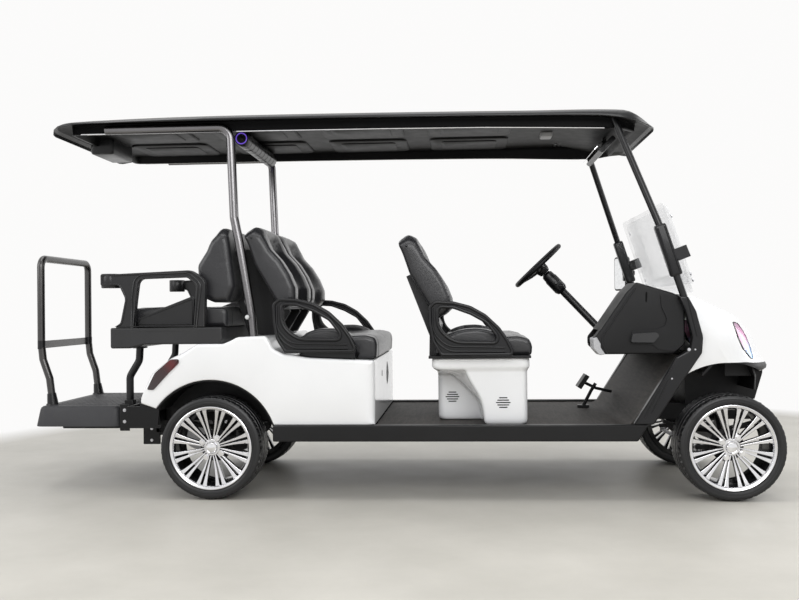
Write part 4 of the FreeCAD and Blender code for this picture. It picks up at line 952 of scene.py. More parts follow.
rearBody = {
    "arch": 0.320, "archCentre": 0.242, "skin": 0.006, "points": 300,
    "edges": {"side": 0.014, "front": 0.034, "arch": 0.006, "tail": 0.022, "tip": 0.008},
    # the outline over the arch, from its front end to its rear end
    "upper": [(0.775, 0.350), (0.775, 0.648, 0.014), (0.474, 0.662), (0.348, 0.682, 0.05),
              (0.302, 0.704, 0.03), (0.284, 0.740, 0.02), (0.266, 0.7665, 0.020), (0.130, 0.7615, 0.024),
              (0.095, 0.744, 0.03), (0.062, 0.7305, 0.02), (-0.060, 0.7305, 0.02), (-0.131, 0.690, 0.05),
              (-0.190, 0.664, 0.05), (-0.285, 0.590, 0.06), (-0.330, 0.481, 0.05), (-0.335, 0.451, 0.010)],
}


def archArc(radius, turns):
    return [(radius * math.cos(t), rearBody["archCentre"] + radius * math.sin(t)) for t in turns]


def bodyShell():
    centre, radius = rearBody["archCentre"], rearBody["arch"]
    first = math.atan2(0.4285 - centre, -0.2600)
    last = math.atan2(0.350 - centre, 0.3012)
    arch = archArc(radius, [first + (last - first) * k / 60 for k in range(61)])
    shape = resample(arch + outline(rearBody["upper"]), rearBody["points"])

    def openPart(point):
        x, z = point
        return z < 0.352 or (abs(math.hypot(x, z - centre) - radius) < 0.006 and z < 0.57)

    edges = []
    for x, z in shape:
        kind = "side"
        if openPart((x, z)) or z < 0.356:
            kind = "arch"
        elif x > 0.765:
            kind = "front"
        elif z < 0.535:
            kind = "tip"
        elif x < -0.10:
            kind = "tail"
        edges.append(rearBody["edges"][kind])
    for turn in range(6):
        edges = [(edges[i - 1] + edges[i] + edges[(i + 1) % len(edges)]) / 3 for i in range(len(edges))]
    mesh = bmesh.new()
    loft(mesh, lambda share: shape, -0.5795, 0.5795, edges, 8, 20, openPart)
    body = makeObject("rear_body_shell", mesh, bodyWhite, "body_white", ["rear_body"], 40)
    solid = body.modifiers.new("skin", "SOLIDIFY")
    solid.thickness = rearBody["skin"]
    solid.offset = -1
    applyModifiers(body)
    shade(body, 40)


bodyShell()

# liners over the rear wheels: a thin barrel under each arch, closed by a wall on its inner side
liner = {"radius": 0.3165, "skin": 0.004, "outer": 0.570, "inner": 0.332, "from": 14, "to": 147,
         "wallLow": 0.345}


def archLiner(side):
    turns = [math.radians(liner["from"] + (liner["to"] - liner["from"]) * k / 56) for k in range(57)]
    over, under = archArc(liner["radius"], turns), archArc(liner["radius"] - liner["skin"], turns)
    low, high = sorted((side * liner["outer"], side * liner["inner"]))
    mesh = plate(over + under[::-1], low, high)
    wall = [p for p in over if p[1] > liner["wallLow"]]
    wall = [(wall[0][0], liner["wallLow"])] + wall + [(wall[-1][0], liner["wallLow"])]
    addMesh(mesh, plate(wall, side * liner["inner"], side * (liner["inner"] + 0.004)))
    for turn in (60, 90, 120):
        a = math.radians(turn)
        spot = at(0, side * 0.451, rearBody["archCentre"]) + radialAt(a) * (liner["radius"] - liner["skin"])
        addBox(mesh, spot, (0.010, 0.236, 0.004), Matrix.Rotation(math.pi / 2 - a, 4, "Y"))
    return mesh


makeObject("wheel_arch_liners", bothSides(archLiner), grainBlack, "black_plastic", ["rear_arch_liners"], 30)

# ports on the front panel, and the lamps
portRows = [(0.165, 0.600), (0.200, 0.575, 0.02), (0.235, 0.545, 0.03), (0.235, 0.520, 0.03),
            (0.200, 0.500, 0.03), (0.165, 0.480, 0.006), (0.130, 0.500, 0.03), (0.115, 0.545, 0.03)]
portMesh = bmesh.new()
for loop in (outline(portRows, 5), roundRect(-0.162, -0.152, 0.546, 0.574, 0.003, 5)):
    front, back = [[portMesh.verts.new(at(x, y, z)) for y, z in loop] for x in (0.7764, 0.770)]
    portMesh.faces.new(front)
    skin(portMesh, [front, back], False)
makeObject("body_ports", portMesh, grainBlack, "black_plastic")
lampRows = [(-0.300, 0.519, 0.006), (-0.268, 0.517, 0.010), (-0.196, 0.594, 0.040), (-0.142, 0.646, 0.016),
            (-0.150, 0.662, 0.012), (-0.186, 0.660, 0.030), (-0.262, 0.596, 0.050)]
lampLens = gradientFinish("tail lens", [(0.034, 0.024, 0.025), (0.034, 0.022, 0.023), (0.030, 0.014, 0.015),
                                        (0.034, 0.008, 0.009), (0.11, 0.003, 0.005), (0.022, 0.012, 0.013)],
                          at(-0.31, 0, 0.51), at(-0.14, 0, 0.66), 0.15, 0.25)
for side, name in ((1, "left"), (-1, "right")):
    lens = makeObject("tail_lens_" + name, plate(outline(lampRows), side * 0.560, side * 0.5850), lampLens,
                      "lamp_red", ["tail_lamps"] if side > 0 else [])
    bevelled(lens, 0.005, 4)
print("rear body ready")


# Front seat base: a moulded pod with a deep flange, a front lobe and a rear one set back

pod = {
    "rearX": 1.063, "frontX": 1.487, "flangeRear": 1.040, "flangeFront": 1.498,
    "lobeY": 0.500, "backLobeY": 0.300, "flangeY": 0.511, "corner": 0.035, "foldRound": 0.016,
    # the rounded foot and lip as (height where it starts, reach, depth), and the two places where the
    # width changes as (height, blend)
    "foot": (0.366, 0.0255, 0.014), "lip": (0.642, 0.010, 0.006),
    "flangeRise": (0.585, 0.030), "shelfRise": (0.556, 0.046),
    # heights of the lowest and the highest rows
    "lowRows": [0.3405, 0.3425, 0.348, 0.356, 0.366],
    "highRows": [0.610, 0.616, 0.622, 0.632, 0.642, 0.648, 0.6505, 0.652],
    # where the fold leaves the back lobe and where it meets the front one, as (z, x)
    "foldBack": [(0.340, 1.278), (0.375, 1.276), (0.427, 1.266), (0.457, 1.246), (0.499, 1.204),
                 (0.540, 1.160), (0.584, 1.112), (0.599, 1.100)],
    "foldFront": [(0.340, 1.283), (0.395, 1.279), (0.445, 1.269), (0.488, 1.250), (0.514, 1.234),
                  (0.550, 1.214), (0.599, 1.190)],
}


def podMesh():
    p = pod
    mesh = bmesh.new()
    stations = p["lowRows"] + [0.366 + 0.180 * k / 14 for k in range(1, 15)]
    stations += [0.5465 + 0.0035 * k for k in range(1, 18)] + p["highRows"]
    quarter = [math.pi / 2 * k / 7 for k in range(8)]
    loops = []
    for z in stations:
        flange = rise(z, *p["flangeRise"])
        foot, lip = [depth * (1 - math.sqrt(1 - max(0.0, min(1.0, sign * (z - start) / reach)) ** 2))
                     for sign, (start, reach, depth) in ((-1, p["foot"]), (1, p["lip"]))]
        x0 = p["rearX"] + (p["flangeRear"] - p["rearX"]) * flange + foot + lip
        x1 = p["frontX"] + (p["flangeFront"] - p["frontX"]) * flange - foot - lip
        front = p["lobeY"] + (p["flangeY"] - p["lobeY"]) * flange - foot - lip
        back = front - (p["lobeY"] - p["backLobeY"]) * (1 - rise(z, *p["shelfRise"]))
        corner, wide = p["corner"], p["foldRound"]
        deep = min(wide, (front - back) * 0.45)
        behind = max(along(p["foldBack"], z), x0 + corner + wide + 0.004)
        ahead = max(along(p["foldFront"], z), behind + 0.003) + foot
        right = [(x0 + corner * (1 - math.cos(a)), back - corner * (1 - math.sin(a))) for a in quarter]
        low, high = x0 + corner, behind - wide
        right += [(low + (high - low) * k / 9, back) for k in range(1, 9)]
        right += [(behind - wide * (1 - math.sin(a)), back + deep * (1 - math.cos(a))) for a in quarter]
        right += [(behind + (ahead - behind) * k / 9, back + deep + (front - back - 2 * deep) * k / 9)
                  for k in range(1, 9)]
        right += [(ahead + wide * (1 - math.cos(a)), front - deep * (1 - math.sin(a))) for a in quarter]
        low, high = ahead + wide, x1 - corner
        right += [(low + (high - low) * k / 13, front) for k in range(1, 13)]
        right += [(x1 - corner * (1 - math.sin(a)), front - corner * (1 - math.cos(a))) for a in quarter]
        loop = [(x, -y) for x, y in right] + [(x, y) for x, y in reversed(right)]
        loops.append([mesh.verts.new(at(x, y, z)) for x, y in loop])
    skin(mesh, loops)
    return mesh


makeObject("seat_pod", podMesh(), bodyWhite, "body_white", ["front_seat_base"], 50)
# the grille slots are thin near-black boxes on the pod: painted shade in place of open slots
grille = bmesh.new()
for side in (1, -1):
    for cx, cz, y in ((1.133, 0.453, pod["backLobeY"]), (1.372, 0.444, pod["lobeY"])):
        for row in range(-2, 3):
            half = (0.0335, 0.027, 0.019)[abs(row)]
            addBox(grille, at(cx, side * y, cz + row * 0.0112), (half * 2, 0.003, 0.0046))
makeObject("pod_grilles", grille, shadeHoleBlack, "black_plastic")
print("pod ready")


# Front cowl: one smooth skin over the nose, with rounded shoulders and lens openings

cowl = {
    "halfWidth": 0.580, "wall": 0.010, "shoulder": 0.080, "noseRound": 0.026, "stations": 56, "gap": 0.0022,
    # where the edge rounding grows to the shoulder's, and where it starts, as (height, blend)
    "shoulderRise": (0.70, 0.16), "lowRise": (0.592, 0.03), "underside": 0.60,
    "setBack": [(0.0, 0.0), (0.352, 0.020), (0.626, 0.058), (0.862, 0.102), (1.113, 0.156), (1.309, 0.205),
                (1.5708, 0.250)],
    "hood": [(2.150, 0.945), (2.327, 0.943, 0.25), (2.446, 0.884, 0.30), (2.545, 0.832, 0.12),
             (2.604, 0.757, 0.25), (2.652, 0.655, 0.30), (2.690, 0.590, 0.014), (2.630, 0.568, 0.03),
             (2.150, 0.590)],
    "rear": [(1.80, 0.345), (2.024, 0.345), (2.239, 0.6845), (2.2505, 0.703, 0.01), (2.2515, 0.748, 0.02),
             (2.222, 0.838), (2.1995, 0.927), (2.192, 1.10), (1.80, 1.10)],
    "lens": [(2.423, 0.812, 0.008), (2.435, 0.744, 0.05), (2.457, 0.689, 0.05), (2.496, 0.644, 0.008),
             (2.516, 0.641, 0.006), (2.512, 0.695, 0.05), (2.494, 0.752, 0.05), (2.468, 0.803, 0.02)],
    "lip": [(2.395, 0.500), (2.395, 0.628), (2.460, 0.629), (2.600, 0.619), (2.730, 0.606), (2.730, 0.500)],
    "arch": (2.380, 0.272, 0.356),
}


def cowlForm(inset, lower=0.0):
    profile = resample(outline(cowl["hood"], 10), 150)
    mesh = bmesh.new()
    half = cowl["halfWidth"] - inset
    low, high = cowl["noseRound"], cowl["shoulder"]
    loops = []
    for k in range(cowl["stations"] + 1):
        turn = -math.pi / 2 + math.pi * k / cowl["stations"]
        fromSide = half * (1 - abs(math.sin(turn)))
        back = along(cowl["setBack"], abs(turn)) + inset
        loop = []
        for (x, z), n in zip(profile, inwardNormals(profile)):
            radius = low + (high - low) * rise(z, *cowl["shoulderRise"])
            radius *= rise(z, *cowl["lowRise"])
            pull = drawIn(radius, fromSide)
            drop = inset + lower if z < cowl["underside"] else inset
            spot = at(x - back + n[0] * pull, half * math.sin(turn), z + n[1] * pull - drop)
            loop.append(mesh.verts.new(spot))
        loops.append(loop)
    skin(mesh, loops)
    bmesh.ops.recalc_face_normals(mesh, faces=mesh.faces)
    return mesh


def lensPrism(side, grow, shift=0.0):
    rows = [(x + shift, z) for x, z in insetOutline(resample(outline(cowl["lens"]), 60), -grow)]
    return plate(rows, *((0.300, 0.70) if side > 0 else (-0.70, -0.300)))


def archDrum(shrink=0.0):
    x, z, radius = cowl["arch"]
    drum = bmesh.new()
    addCylinder(drum, at(x, -beyond, z), at(x, beyond, z), radius - shrink, 128)
    return drum


shell = makeObject("nose_cowl", cowlForm(0.0), bodyWhite, "body_white", ["front_cowl"], 40)
carve(shell, cowlForm(cowl["wall"], 0.05), crossCut(outline(cowl["rear"], 4)), archDrum(),
      bothSides(lambda side: lensPrism(side, cowl["gap"])))
bevelled(shell, 0.0018, 2, 50)
lensGlow = gradientFinish("head lens", [(0.25, 0.08, 0.20), (0.66, 0.20, 0.46), (0.84, 0.42, 0.66),
                                        (0.42, 0.58, 0.90), (0.30, 0.58, 0.92)],
                          at(2.440, 0, 0.805), at(2.515, 0, 0.645), 0.10, 0.5)
for side, name in ((1, "left"), (-1, "right")):
    lens = makeObject("head_lens_" + name, cowlForm(0.0015), lensGlow, "lamp_clear",
                      ["head_lamps"] if side > 0 else [], 40)
    carve(lens, cowlForm(0.009, 0.05))
    carve(lens, lensPrism(side, 0.0), operation="INTERSECT")
    bezel = makeObject("head_bezel_" + name, cowlForm(0.0010), satinBlack, "black_gloss", [], 40)
    carve(bezel, cowlForm(0.010, 0.05))
    carve(bezel, lensPrism(side, 0.0008), operation="INTERSECT")
    carve(bezel, lensPrism(side, 0.0, 0.009))
lip = makeObject("nose_lip", cowlForm(-0.0008), grainBlack, "black_plastic", [], 40)
carve(lip, cowlForm(0.012, 0.05), crossCut(outline(cowl["rear"], 4)))
carve(lip, crossCut(outline(cowl["lip"])), operation="INTERSECT")
carve(lip, archDrum(0.001))
shade(lip, 40)
print("cowl ready")


# Solids whose shape is right get rounded edges: node, piece, edge radius, finish, slot, body

roundedSolids = [
    ("rear_seat_tray", "rear_tray_skirt", 0.010, trayBlack, "black_plastic", "cart"),
    ("front_seat_frame", "front_seat_pan", 0.006, satinBlack, "black_plastic", "cart"),
    ("middle_seat_frame", "middle_seat_pan", 0.006, satinBlack, "black_plastic", "cart"),
    ("side_channels", "cowl_pillars", 0.007, satinBlack, "black_gloss", "cart"),
    ("rockers", "side_sills", 0.006, frameBlack, "frame_paint", "cart"),
    ("front_underbody", "inner_fenders", 0.004, grainBlack, "black_plastic", "cart"),
    ("rear_bumper", "lower_rear_bumper", 0.012, grainBlack, "black_plastic", "cart"),
    ("chassis_rails", "frame_rails", 0.004, frameBlack, "frame_paint", "cart"),
    ("cross_members", "frame_cross_members", 0.003, frameBlack, "frame_paint", "cart"),
    ("front_axle", "front_axle_beam", 0.003, frameBlack, "frame_paint", "cart"),
    ("seat_back_frame", "seat_support_frame", 0.003, frameBlack, "frame_paint", "cart"),
    ("screen_holders", "screen_clamps", 0.004, satinBlack, "black_gloss", "cart"),
    ("battery_pack", "battery_box", 0.008, batteryCase, "battery_case", "cart"),
    ("pedals", "pedal_set", 0.003, frameBlack, "frame_paint", "cart"),
    ("knuckle_left", "steering_knuckle_left", 0.003, castIron, "frame_paint", "knuckle_left"),
    ("knuckle_right", "steering_knuckle_right", 0.003, castIron, "frame_paint", "knuckle_right"),
]
for node, name, width, finish, slot, body in roundedSolids:
    piece = softened(node, name, width, finish, slot, body)
    if name == "inner_fenders":
        carve(piece, crossCut([(2.555, 0.578), (2.720, 0.578), (2.720, 0.380), (2.499, 0.380)]))
        corner = [(2.440, 0.575), (2.720, 0.575), (2.720, 0.380), (2.440, 0.380)]
        carve(piece, bothSides(lambda side: plate(corner, side * 0.505, side * 0.620)))
    if name == "screen_clamps":
        lean = Matrix.Rotation(math.radians(-21), 4, "Y") @ Matrix.Diagonal((0.88, 1, 0.86, 1))
        for sign in (1, -1):
            clamp = [v for v in piece.data.vertices if (v.co.y - middleY) * sign > 0]
            middle = sum((v.co for v in clamp), Vector()) / len(clamp)
            for v in clamp:
                v.co = middle + (lean @ (v.co - middle).to_4d()).to_3d()
    if name == "middle_seat_pan":
        carve(piece, crossCut([(0.683, 0.760), (0.900, 0.760), (0.900, 0.600), (0.683, 0.600)]))
webs = bmesh.new()
outerWeb = [(2.400, 0.640), (2.550, 0.606), (2.550, 0.560), (2.400, 0.560)]
innerWeb = [(2.440, 0.600), (2.640, 0.592), (2.637, 0.556), (2.599, 0.431), (2.440, 0.431)]
for inner, rows in ((0.450, outerWeb), (0.235, innerWeb)):
    addMesh(webs, bothSides(lambda side: plate(rows, side * inner, side * (inner + 0.006))))
makeObject("fender_webs", webs, grainBlack, "black_plastic")
print("rounded solids ready")


# Rear bench: arm frames with cup holders, groove lines and the padded side panels

rearArm = {
    # the cup holder's place, height, outer and inner radius
    "y": (0.5225, 0.5615), "cup": (-0.495, 0.517, 1.0, 0.068, 0.0445, 0.0375),
    "rimIn": 0.0052, "rimRadius": 0.0056, "grooveIn": 0.0215, "grooveRadius": 0.0045,
    "outer": [(-0.452, 1.066, 0.014), (-0.091, 1.080, 0.055), (-0.022, 1.033, 0.050), (-0.028, 0.8105),
              (-0.458, 0.8105), (-0.434, 0.835, 0.030), (-0.410, 0.948, 0.040), (-0.440, 1.012, 0.020),
              (-0.530, 1.012, 0.008), (-0.530, 1.066, 0.008)],
    "hole": [(-0.344, 1.040, 0.030), (-0.110, 1.046, 0.030), (-0.066, 1.008, 0.030), (-0.080, 0.8105),
             (-0.374, 0.8105), (-0.358, 0.940, 0.03)],
    "panel": [(-0.365, 0.812), (-0.362, 0.858, 0.012), (-0.100, 0.957, 0.014), (-0.086, 0.945, 0.010),
              (-0.092, 0.812)],
}


def rearArmFrame(side):
    y0, y1 = rearArm["y"]
    outer, hole = [outline(rearArm[key], 8) for key in ("outer", "hole")]
    mesh = bmesh.new()
    addMesh(mesh, plate(outer, side * (y0 + 0.004), side * (y1 - 0.004), [hole]))
    for faceY, outward in ((y0 + 0.0055, -0.002), (y1 - 0.0055, 0.002)):
        for points, inset in ((outer, rearArm["rimIn"]), (hole, -rearArm["rimIn"])):
            rim = onPlane(insetOutline(points, inset), side * faceY)
            addMesh(mesh, tubeMesh(rim, rearArm["rimRadius"], 0, True, 3))
        groove = onPlane(insetOutline(hole, -rearArm["grooveIn"]), side * (faceY + outward))
        addMesh(mesh, tubeMesh(groove, rearArm["grooveRadius"], 0, True, 2))
    cx, cy, cz, height, outerR, innerR = rearArm["cup"]
    profile = [(0.0, 0.0), (0.0, outerR - 0.003), (0.003, outerR), (height - 0.002, outerR),
               (height, outerR - 0.002), (height, innerR + 0.001), (height - 0.002, innerR), (0.008, innerR),
               (0.008, 0.0)]
    revolve(mesh, profile, at(cx, side * cy, cz), Vector((0, 0, 1)), 48, False)
    return mesh


makeObject("rear_arm_frames", bothSides(rearArmFrame), armBlack, "black_gloss", ["rear_armrests"], 45)
panel = outline(rearArm["panel"], 5)
panels = makeObject("rear_side_panels", bothSides(lambda side: plate(panel, side * 0.503, side * 0.519)),
                    armBlack, "black_gloss", [], 40)
bevelled(panels, 0.005, 3)
routes = [onPlane(insetOutline(panel, 0.013), side * 0.519) for side in (1, -1)]
tubes("rear_panel_borders", routes, 0.0028, armBlack, closed=True, sides=2, slot="black_gloss")
print("rear arms ready")


# Dash: deep on the passenger's side and set forward before the driver, with a bulging cheek,
# its seam, a ledge, a rounded knee edge and a grey end cap

dashDetail = {
    "half": 0.552, "front": 2.150, "blend": 0.16, "edgeRound": 0.010,
    "side": [(1.984, 0.998, 0.012), (2.145, 0.948, 0.030), (2.199, 0.925, 0.010), (2.199, 0.716, 0.010),
             (2.150, 0.668, 0.020), (1.940, 0.668, 0.020), (1.829, 0.668, 0.030), (1.7895, 0.706, 0.020),
             (1.7895, 0.744, 0.020), (1.820, 0.782, 0.020), (1.936, 0.950, 0.020)],
    "forward": [(-0.552, 0.0), (-0.300, 0.0), (-0.100, 0.085), (0.100, 0.125), (0.552, 0.150)],
    "pocket": [(1.70, 0.783, 0.01), (1.70, 0.702, 0.01), (2.02, 0.708, 0.01), (2.03, 0.776, 0.01)],
    "pocketY": [(-0.490, -0.290), (-0.020, 0.160)],
    "knee": [(1.978, 0.972), (1.8255, 0.750), (1.8255, 0.712), (1.846, 0.671)],
    "cheek": [(2.088, 0.9405, 0.006), (2.093, 0.884, 0.03), (2.117, 0.829, 0.03), (2.108, 0.797, 0.02),
              (2.072, 0.781, 0.02), (1.960, 0.778, 0.008), (1.952, 0.716, 0.012), (2.053, 0.711, 0.03),
              (2.078, 0.690, 0.03), (2.150, 0.680, 0.03), (2.190, 0.714, 0.02), (2.190, 0.905, 0.02),
              (2.150, 0.925, 0.03)],
    "ledge": [(1.958, 0.762, 0.008), (2.066, 0.768, 0.016), (2.078, 0.752, 0.010), (2.052, 0.722, 0.012),
              (1.950, 0.724, 0.008)],
    "cap": [(1.7825, 0.741, 0.008), (1.800, 0.748, 0.006), (1.8175, 0.716, 0.006), (1.8175, 0.700, 0.004),
            (1.838, 0.6685, 0.004), (1.812, 0.664, 0.010), (1.786, 0.694, 0.010)],
}
dashSide = resample(outline(dashDetail["side"], 8), 150)


def setForward(rows, push):
    # the dash moves forward all but at its front, where it stays on the cowl
    return [(x + push * smooth((dashDetail["front"] - x) / dashDetail["blend"]), z) for x, z in rows]


def dashShape(share):
    return setForward(dashSide, along(dashDetail["forward"], (share - 0.5) * 2 * dashDetail["half"]))


def onDash(rows, side):
    # the driver's end of the dash is set forward, and so is what sits on it
    return setForward(outline(rows, 5), dashDetail["forward"][-1][1] if side > 0 else 0.0)


mesh = bmesh.new()
half = dashDetail["half"]
loft(mesh, dashShape, -half, half, [dashDetail["edgeRound"]] * len(dashSide), 6, 78)
dashBody = makeObject("dash_moulding", mesh, grainBlack, "black_plastic", ["dash"], 40)
for y0, y1 in dashDetail["pocketY"]:
    carve(dashBody, plate(outline(dashDetail["pocket"], 3), y0, y1))
shade(dashBody, 40)
# the ledges take the lighter tray black: a painted highlight on the lit ledge of the black dash
for key, name, y0, y1, width, finish in (("cheek", "dash_cheeks", 0.540, 0.5580, 0.007, grainBlack),
                                         ("ledge", "dash_ledges", 0.545, 0.5800, 0.012, trayBlack),
                                         ("cap", "dash_end_caps", 0.440, 0.5550, 0.004, greyPlastic)):
    form = bothSides(lambda side: plate(onDash(dashDetail[key], side), side * y0, side * y1))
    if key == "cap":
        form = plate(onDash(dashDetail[key], -1), -y0, -y1)
    bevelled(makeObject(name, form, finish, "black_plastic", [], 40), width, 4)
tubes("dash_knee_bead", [onPlane(dashDetail["knee"], -0.5515)], 0.0042, satinBlack, 0.03, sides=2,
      slot="black_gloss")
# the dash slots are thin near-black bars: painted shade in place of open slots
slotRows = [(2.0235, 0.953, 0.003), (2.031, 0.953, 0.003), (2.0285, 0.907, 0.003), (2.022, 0.907, 0.003)]
slots = bothSides(lambda side: plate(onDash(slotRows, side), side * 0.545, side * 0.5535))
makeObject("dash_slots", slots, shadeHoleBlack, "black_plastic")
ridgeRows = ([(2.150, 0.658), (2.004, 0.386)], [(2.112, 0.553), (2.035, 0.402)],
             [(2.201, 0.925), (2.2415, 0.750)])
tubes("pillar_ridges", [onPlane(rows, side * 0.5965) for side in (1, -1) for rows in ridgeRows], 0.0032,
      satinBlack, sides=2, slot="black_gloss")
boltRows = [(2.205, 0.5940, 0.690), (2.232, 0.5940, 0.690), (2.127, 0.5940, 0.559), (-0.372, 0.3095, 0.300),
            (-0.372, 0.3095, 0.242)]
bolts("frame_bolts", sideSpots(boltRows), 0.0048, 0.0045)
print("dash ready")


# Posts: front ones with covers and edge strips, rear ones bent along the canopy

post = {
    "foot": (2.191, 0.574, 0.926), "mid": (2.085, 0.569, 1.258), "high": (1.928, 0.4765, 1.700),
    "tip": (1.901, 0.4585, 1.7845), "radius": 0.0165, "cover": (0.30, 1.0), "coverHalf": (0.027, 0.021),
}


def postCover(side):
    # a long moulded sleeve with a round-edged section and two raised strips
    foot, mid = [at(x, side * y, z) for x, y, z in (post["foot"], post["mid"])]
    run = (mid - foot).normalized()
    ahead = Vector((run.z, 0, -run.x)).normalized()
    out = Vector((0, side, 0))
    mesh = bmesh.new()
    halfX, halfY = post["coverHalf"]
    section = roundRect(-halfX, halfX, -halfY, halfY, 0.009, 5)
    low, high = [foot.lerp(mid, share) for share in post["cover"]]
    length = (high - low).length
    skin(mesh, [[mesh.verts.new(low + run * distance + (ahead * a + out * b) * scale) for a, b in section]
                for distance, scale in ((0.0, 0.80), (0.004, 0.94), (0.012, 1.0), (length - 0.012, 1.0),
                                        (length - 0.004, 0.94), (length, 0.80))])
    for shift in (-0.0165, 0.0165):
        beside = ahead * shift + out * (halfY - 0.0005)
        path = [low + run * 0.014 + beside, high - run * 0.014 + beside]
        addMesh(mesh, tubeMesh(path, 0.0042, 0, False, 2))
    return mesh


routes = [[at(x, side * y, z) for x, y, z in (post[key] for key in ("foot", "mid", "high", "tip"))]
          for side in (1, -1)]
tubes("front_posts", routes, post["radius"], satinBlack, 0.10, sides=6, slot="tube_paint",
      nodes=["front_struts"])
makeObject("front_post_covers", bothSides(postCover), satinBlack, "black_gloss", [], 40)
rearPost = [(-0.527, 1.7655), (0.084, 1.7655), (0.100, 1.331), (0.124, 1.209), (0.181, 0.855), (0.188, 0.757)]
tubes("rear_posts", [onPlane(rearPost, side * 0.484) for side in (1, -1)], 0.0215, strutSheen, 0.060, sides=7,
      slot="tube_paint", nodes=["rear_struts"])


# Step: tapered moulding with a ribbed mat, grab handle in sockets, and the bench legs

# rows are (how far in from the outline, height)
stepLayers = [(0.000, 0.3205), (0.000, 0.326), (0.016, 0.402), (0.021, 0.4125), (0.030, 0.4185),
              (0.042, 0.4205)]
mesh = bmesh.new()
plan = resample(roundRect(-0.942, -0.499, -0.389, 0.389, 0.045, 8), 120)
skin(mesh, [[mesh.verts.new(at(x, y, z)) for x, y in insetOutline(plan, inset)] for inset, z in stepLayers])
makeObject("step_moulding", mesh, stepPlastic, "black_plastic", ["step_platform"], 50)
ribs = bmesh.new()
for k in range(12):
    x = -0.868 + 0.0285 * k
    roundedSlab(ribs, x, x + 0.018, -0.325, 0.325, 0.4195, 0.4219, 0.006, 0.0009)
makeObject("step_mat_ribs", ribs, stepPlastic, "black_plastic", [], 45)

# arms under the step, bracket plates and the square receiver
hitch = bmesh.new()
addBox(hitch, at(-0.340, 0, 0.342), (0.020, 0.620, 0.124))
for side in (1, -1):
    addBox(hitch, at(-0.590, side * 0.290, 0.3105), (0.480, 0.036, 0.0185))
    addBox(hitch, at(-0.3725, side * 0.303, 0.271), (0.085, 0.014, 0.098))
    addBox(hitch, at(-0.415, side * 0.032, 0.268), (0.130, 0.012, 0.076))
    addBox(hitch, at(-0.415, 0, 0.268 + side * 0.032), (0.130, 0.052, 0.012))
    addBox(hitch, at(-0.340, side * 0.045, 0.300), (0.018, 0.030, 0.140))
bevelled(makeObject("step_arms", hitch, frameBlack, "frame_paint", ["step_frame"]), 0.0025, 2)

handle = {"half": 0.295, "radius": 0.0186, "plateX": (-0.9500, -0.9440), "plateZ": (0.704, 0.742),
          "rows": [(-0.886, 0.421), (-0.902, 0.552), (-0.936, 0.649), (-0.9442, 0.730), (-0.9442, 1.160)]}
half = handle["half"]
tubes("grab_rail", [onPlane(handle["rows"], -half) + onPlane(handle["rows"], half)[::-1]], handle["radius"],
      tubeSheen, 0.045, sides=6, slot="tube_paint", nodes=["grab_handle"])
(x0, x1), (z0, z1) = handle["plateX"], handle["plateZ"]
bar = plate([(x0, z0), (x1, z0), (x1, z1), (x0, z1)], -half, half)
bevelled(makeObject("grab_rail_plate", bar, tubeSheen, "tube_paint"), 0.002)
sockets = bmesh.new()
for side in (1, -1):
    foot, knee = at(-0.886, side * half, 0.4195), at(-0.893, side * half, 0.478)
    addCylinder(sockets, foot, knee, 0.028, 32, 0.0215)
    addCylinder(sockets, foot, foot + Vector((0, 0, 0.006)), 0.034, 32, 0.031)
    addCylinder(sockets, at(-0.9434, side * half, 0.702), at(-0.9434, side * half, 0.744), 0.0193)
makeObject("grab_rail_sockets", sockets, satinBlack, "black_plastic")
legRows = [(-0.435, 0.711), (-0.439, 0.640), (-0.488, 0.560), (-0.488, 0.322)]
tubes("rear_bench_legs", [onPlane(legRows, side * 0.290) for side in (1, -1)], 0.0185, satinBlack, 0.055,
      sides=6, slot="tube_paint", nodes=["rear_seat_legs"])
clamps = bmesh.new()
for side in (1, -1):
    addBox(clamps, at(-0.488, side * 0.290, 0.385), (0.044, 0.050, 0.120))
    addBox(clamps, at(-0.478, side * 0.3920, 0.366), (0.050, 0.009, 0.132))
    addBox(clamps, at(-0.435, side * 0.290, 0.706), (0.060, 0.060, 0.008))
bevelled(makeObject("leg_clamps", clamps, frameBlack, "frame_paint"), 0.004)
bolts("leg_bolts", sideSpots([(-0.478, 0.3965, 0.346), (-0.478, 0.3965, 0.402)]), 0.0055, 0.005)
print("posts and step ready")


# Screen: two clear sheets with round corners, joined by small clips

screen = {"low": (2.2385, 0.9465), "run": (-0.132, 0.4217), "half": 0.542, "thick": 0.0048, "corner": 0.045,
          "sheets": [(0.002, 0.438, 0.0, 0.0), (0.040, 0.420, 0.0142, 0.010)]}
runLength = math.hypot(*screen["run"])
runX, runZ = screen["run"][0] / runLength, screen["run"][1] / runLength
normal = Vector((runZ, 0, -runX))


def onScreen(distance, y, ahead):
    # a place on the leaning sheet: so far up it, and so far before it
    x, z = screen["low"]
    return at(x + runX * distance, y, z + runZ * distance) + normal * ahead


sheets = bmesh.new()
for low, high, ahead, narrower in screen["sheets"]:
    half = screen["half"] - narrower
    rows = outline([(low, -half, 0.02), (high, -half, screen["corner"]), (high, half, screen["corner"]),
                    (low, half, 0.02)], 8)
    skin(sheets, [[sheets.verts.new(onScreen(distance, y, push)) for distance, y in rows]
                  for push in (ahead, ahead + screen["thick"])])
makeObject("clear_screen", sheets, clearSheet, "screen_clear", ["windscreen"], 40)
spots = [(onScreen(distance, side * 0.528, 0.0185), normal) for side in (1, -1)
         for distance in (0.055, 0.085, 0.365)]
bolts("screen_clips", spots, 0.0065, 0.007)


# Steering wheel: padded rim, three dished spokes and a round boss

